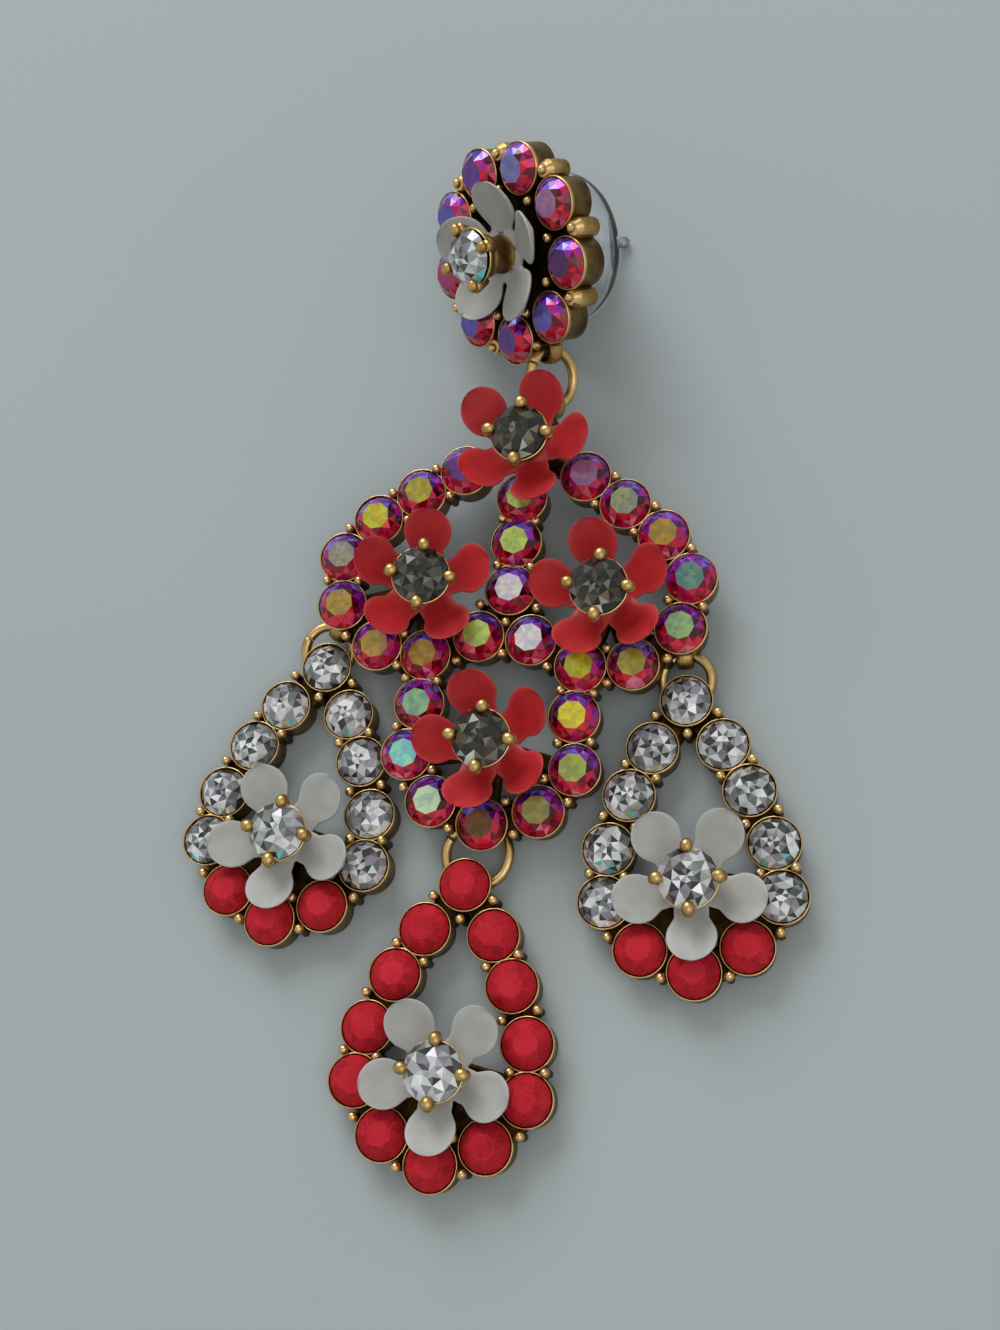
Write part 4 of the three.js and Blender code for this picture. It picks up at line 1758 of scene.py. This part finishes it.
@dataclass
class Stud:
    """The round stud that leans back on its post, with its clutch."""

    design: Matrix
    origin: tuple[float, float, float] = (2.3, 31.4, 7.7)
    tilt: float = 47.0
    faces: float = 217.7
    count: int = 9
    seats_turn: float = 3.0
    pitch: float = 6.4
    lug_reach: float = 7.3
    post_radius: float = 0.42
    post_length: float = 11.06
    setting_rise: float = 1.7
    bail_at: float = 96.0
    seed: int = 71
    flower_seed: int = 77

    def matrix(self) -> Matrix:
        """Its placement in the design's millimetres, with Z along its face's normal.

        Returns:
            The placement.
        """
        level = math.sin(math.radians(self.tilt))
        azimuth = math.radians(self.faces)
        steep = math.cos(math.radians(self.tilt))
        normal = Vector((level * math.cos(azimuth), level * math.sin(azimuth), steep))
        up = (Vector((0, 1, 0)) - normal * normal.y).normalized()
        side = up.cross(normal)
        turn = Matrix((side, up, normal)).transposed().to_4x4()
        return Matrix.Translation(self.origin) @ turn

    def seats(self) -> list[Seat]:
        """The ring of red stones.

        Returns:
            The seats.
        """
        table_reflections = (
            TableReflection.BLUE, TableReflection.PLUM, TableReflection.LILAC, TableReflection.SKY, TableReflection.PURPLE,
            TableReflection.BLUE, TableReflection.ROSE, TableReflection.BLUE, TableReflection.PURPLE,
        )
        seats = []
        for i in range(self.count):
            angle = (i + 0.5) * 2 * math.pi / self.count - math.pi / 2 + math.radians(self.seats_turn)
            x, y = self.pitch * math.cos(angle), self.pitch * math.sin(angle)
            seats.append(Seat(x, y, Cut.RED, table_reflections[i]))
        return seats

    def plate(self) -> Shape:
        """The back plate, the tongue to the link ring and the bright outer beads.

        Returns:
            The shape, with its back at height 0.
        """
        plate = [
            (0.0, 0.0, 0.3), (5.9, 0.0, 0.4), (6.0, 0.15, 0.5),
            (6.0, 1.4, 0.1), (5.8, 1.5, 0.1), (0.0, 1.5, 0.0),
        ]
        lug = [
            (0.0, 0.0, 0.4), (0.7, 0.0, 0.5), (0.8, 0.8, 0.6),
            (0.78, 1.7, 0.8), (0.5, 2.2, 1.0), (0.0, 2.35, 1.0),
        ]
        shape = turned(plate, 48)
        shape.add(bar((0.1, -5.2), (0.14, -7.4), 1.3, 1.35, 0.5))
        for i in range(1, self.count):
            angle = 2 * math.pi * i / self.count - math.pi / 2 + math.radians(self.seats_turn)
            at = Matrix.Translation((self.lug_reach * math.cos(angle), self.lug_reach * math.sin(angle), 0))
            shape.add(turned(lug, 18), at)
        return shape

    def post(self, finishes: Finishes) -> bpy.types.Object:
        """Builds the ear post.

        Args:
            finishes: The materials.

        Returns:
            The piece.
        """
        r, end = self.post_radius, -self.post_length
        rows = [
            (0.0, end + 0.01), (0.18, end + 0.01), (0.36, end + 0.16), (r, end + 0.35),
            (r, end + 0.9), (r - 0.07, end + 1.05), (r - 0.07, end + 1.35), (r, end + 1.5),
            (r, -0.25), (r + 0.25, -0.02), (r + 0.25, 0.3), (0.0, 0.3),
        ]
        shape = turned([(*row, 0.5) for row in rows], 24)
        return finished("ear_post", shape.mesh("post"), finishes.steel, self.design @ self.matrix())

    def clutch(self, finishes: Finishes) -> None:
        """Args:
            finishes: The materials.
        """
        at = self.design @ self.matrix()
        disc = [
            (1.85, -4.05), (4.9, -4.1), (5.3, -4.28), (5.55, -4.28), (5.7, -4.1), (5.7, -3.6),
            (5.55, -3.42), (5.3, -3.42), (4.9, -3.62), (1.85, -3.5),
        ]
        barrel = [
            (0.76, -8.2), (0.95, -8.2), (1.15, -8.05), (1.4, -7.3), (1.5, -6.6), (1.5, -5.2),
            (2.4, -5.1), (2.5, -4.95), (2.5, -4.78), (2.4, -4.62), (1.5, -4.62), (1.5, -3.4),
            (1.38, -3.2), (1.15, -3.15), (0.76, -3.15),
        ]
        clear = turned([(*row, 0.5) for row in disc], 96, closed=True).mesh("disc")
        steel = turned([(*row, 0.5) for row in barrel], 48, closed=True).mesh("barrel")
        plate = finished("clutch_disc_clear", clear, finishes.plastic, at)
        declare(plate, "clear_plastic", "clutch", "clutch_disc")
        tube = finished("clutch_barrel_steel", steel, finishes.steel, at)
        declare(tube, "steel", "clutch", "clutch_barrel")

    def build(self, kit: Templates, finishes: Finishes) -> None:
        """Builds the stud, its flower, post and clutch.

        Args:
            kit: The repeated pieces.
            finishes: The materials.
        """
        own = self.matrix()
        extra = self.plate().add(STUD_RING.bail(self.bail_at), own.inverted())
        casting = Casting("stud", "stud_base", self.seats(), self.design @ own, self.seed, bead_offset=1.3,
                          bosses=[(0, 0, STUD_PETALS.foot)], extra=extra)
        casting.build(kit, finishes)
        declare(self.post(finishes), "steel", "earring")
        flower = Flower("stud_flower", STUD_PETALS, finishes.ivory, "ivory_enamel",
                        finishes.clear, "clear_glass", self.design @ own, 70, self.flower_seed,
                        rise=self.setting_rise)
        flower.build("stud", kit, finishes)
        self.clutch(finishes)


# ---------------------------------------------------------------- stage


@dataclass(frozen=True)
class Stage:
    """Floor, camera and soft light."""

    eye: Point = (27.84, -36.1, 120.0)
    aim: Point = (0.4, -0.6, 3.0)
    tilt: float = 18.5
    lens: float = 46.0
    floor_side: float = 12.0
    window_at: Point = (-0.2, 0.52, 0.42)
    window_size: float = 0.4
    window_power: float = 2.6
    fill_at: Point = (0.26, -0.2, 0.55)
    fill_size: float = 0.5
    fill_power: float = 0.7
    room: Colour = srgb(226, 230, 228)
    room_strength: float = 0.6

    def floor(self, finishes: Finishes) -> None:
        """Lays a plain pale floor just under the earring.

        Args:
            finishes: The materials.
        """
        half = self.floor_side / 2
        mesh = bpy.data.meshes.new("floor")
        corners = [(-half, -half, 0), (half, -half, 0), (half, half, 0), (-half, half, 0)]
        mesh.from_pydata(corners, [], [(0, 1, 2, 3)])
        mesh.materials.append(finishes.floor)
        made = bpy.data.objects.new("floor", mesh)
        bpy.context.scene.collection.objects.link(made)

    def camera(self) -> None:
        """Stands the camera over the drops, tipped towards the stud."""
        data = bpy.data.cameras.new("camera")
        data.lens = self.lens
        data.clip_start = 0.005
        made = bpy.data.objects.new("camera", data)
        eye, aim = Vector(self.eye) * MM, Vector(self.aim) * MM
        made.location = eye
        level = Matrix.Rotation(math.radians(self.tilt), 3, "X").to_quaternion()
        swing = (level @ Vector((0, 0, -1))).rotation_difference(aim - eye)
        made.rotation_euler = (swing @ level).to_euler()
        bpy.context.scene.collection.objects.link(made)
        bpy.context.scene.camera = made

    def light(self, name: str, at: Point, size: float, power: float, colour: Colour) -> None:
        """Hangs one soft square light that faces the earring.

        Args:
            name: Its name.
            at: Its place in metres.
            size: Its side in metres.
            power: Its power in watts.
            colour: Its colour.
        """
        data = bpy.data.lights.new(name, "AREA")
        data.size = size
        data.energy = power
        data.color = colour[:3]
        made = bpy.data.objects.new(name, data)
        made.location = at
        made.rotation_mode = "QUATERNION"
        made.rotation_quaternion = (-Vector(at)).to_track_quat("-Z", "Y")
        bpy.context.scene.collection.objects.link(made)

    def lights(self) -> None:
        """Hangs the window light, its fill and a dim surround."""
        self.light("window", self.window_at, self.window_size, self.window_power, srgb(252, 252, 252))
        self.light("fill", self.fill_at, self.fill_size, self.fill_power, srgb(255, 250, 242))
        world = bpy.data.worlds.new("room")
        world.use_nodes = True
        back = world.node_tree.nodes["Background"]
        back.inputs["Color"].default_value = self.room
        back.inputs["Strength"].default_value = self.room_strength
        bpy.context.scene.world = world
        bpy.context.scene.view_settings.view_transform = "Standard"

    def build(self, finishes: Finishes) -> None:
        """Sets the whole stage.

        Args:
            finishes: The materials.
        """
        self.floor(finishes)
        self.camera()
        self.lights()


def design_to_frame() -> Matrix:
    """From the design's millimetres to the frame's metres, found from the lowest jump ring, which is level.

    Returns:
        The transform.
    """
    low, high = (Vector(corner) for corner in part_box(BOTTOM_RING.node))
    middle = (low + high) / 2
    own = Vector((BOTTOM_RING.x, BOTTOM_RING.y, BOTTOM_RING.z)) * MM
    return Matrix.Translation(middle - own) @ Matrix.Scale(MM, 4)


def main() -> None:
    """Builds the earring and its stage in order."""
    logging.basicConfig(level=logging.INFO, format="%(name)s: %(message)s")
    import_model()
    design = design_to_frame()
    finishes = Finishes()
    kit = Templates().build()
    MainFrame(design).build(kit, finishes)
    drops = (
        Teardrop("left", design, x=-12.4, y=-0.1, turn=-7.3, ring=LEFT_RING, bail_at=277,
                 sides=Cut.CLEAR, seed=31),
        Teardrop("right", design, x=15.0, y=-2.5, turn=3.6, ring=RIGHT_RING, bail_at=272,
                 sides=Cut.CLEAR, seed=41),
        Teardrop("bottom", design, x=-0.4, y=-16.35, turn=-3.0, ring=BOTTOM_RING, bail_at=257,
                 sides=Cut.CORAL, seed=51),
    )
    for drop in drops:
        drop.build(kit, finishes)
    Stud(design).build(kit, finishes)
    for ring in (LEFT_RING, RIGHT_RING, BOTTOM_RING, STUD_RING):
        ring.build(design, finishes)
    kit.clear_away()
    Stage().build(finishes)


if __name__ == "__main__":
    main()
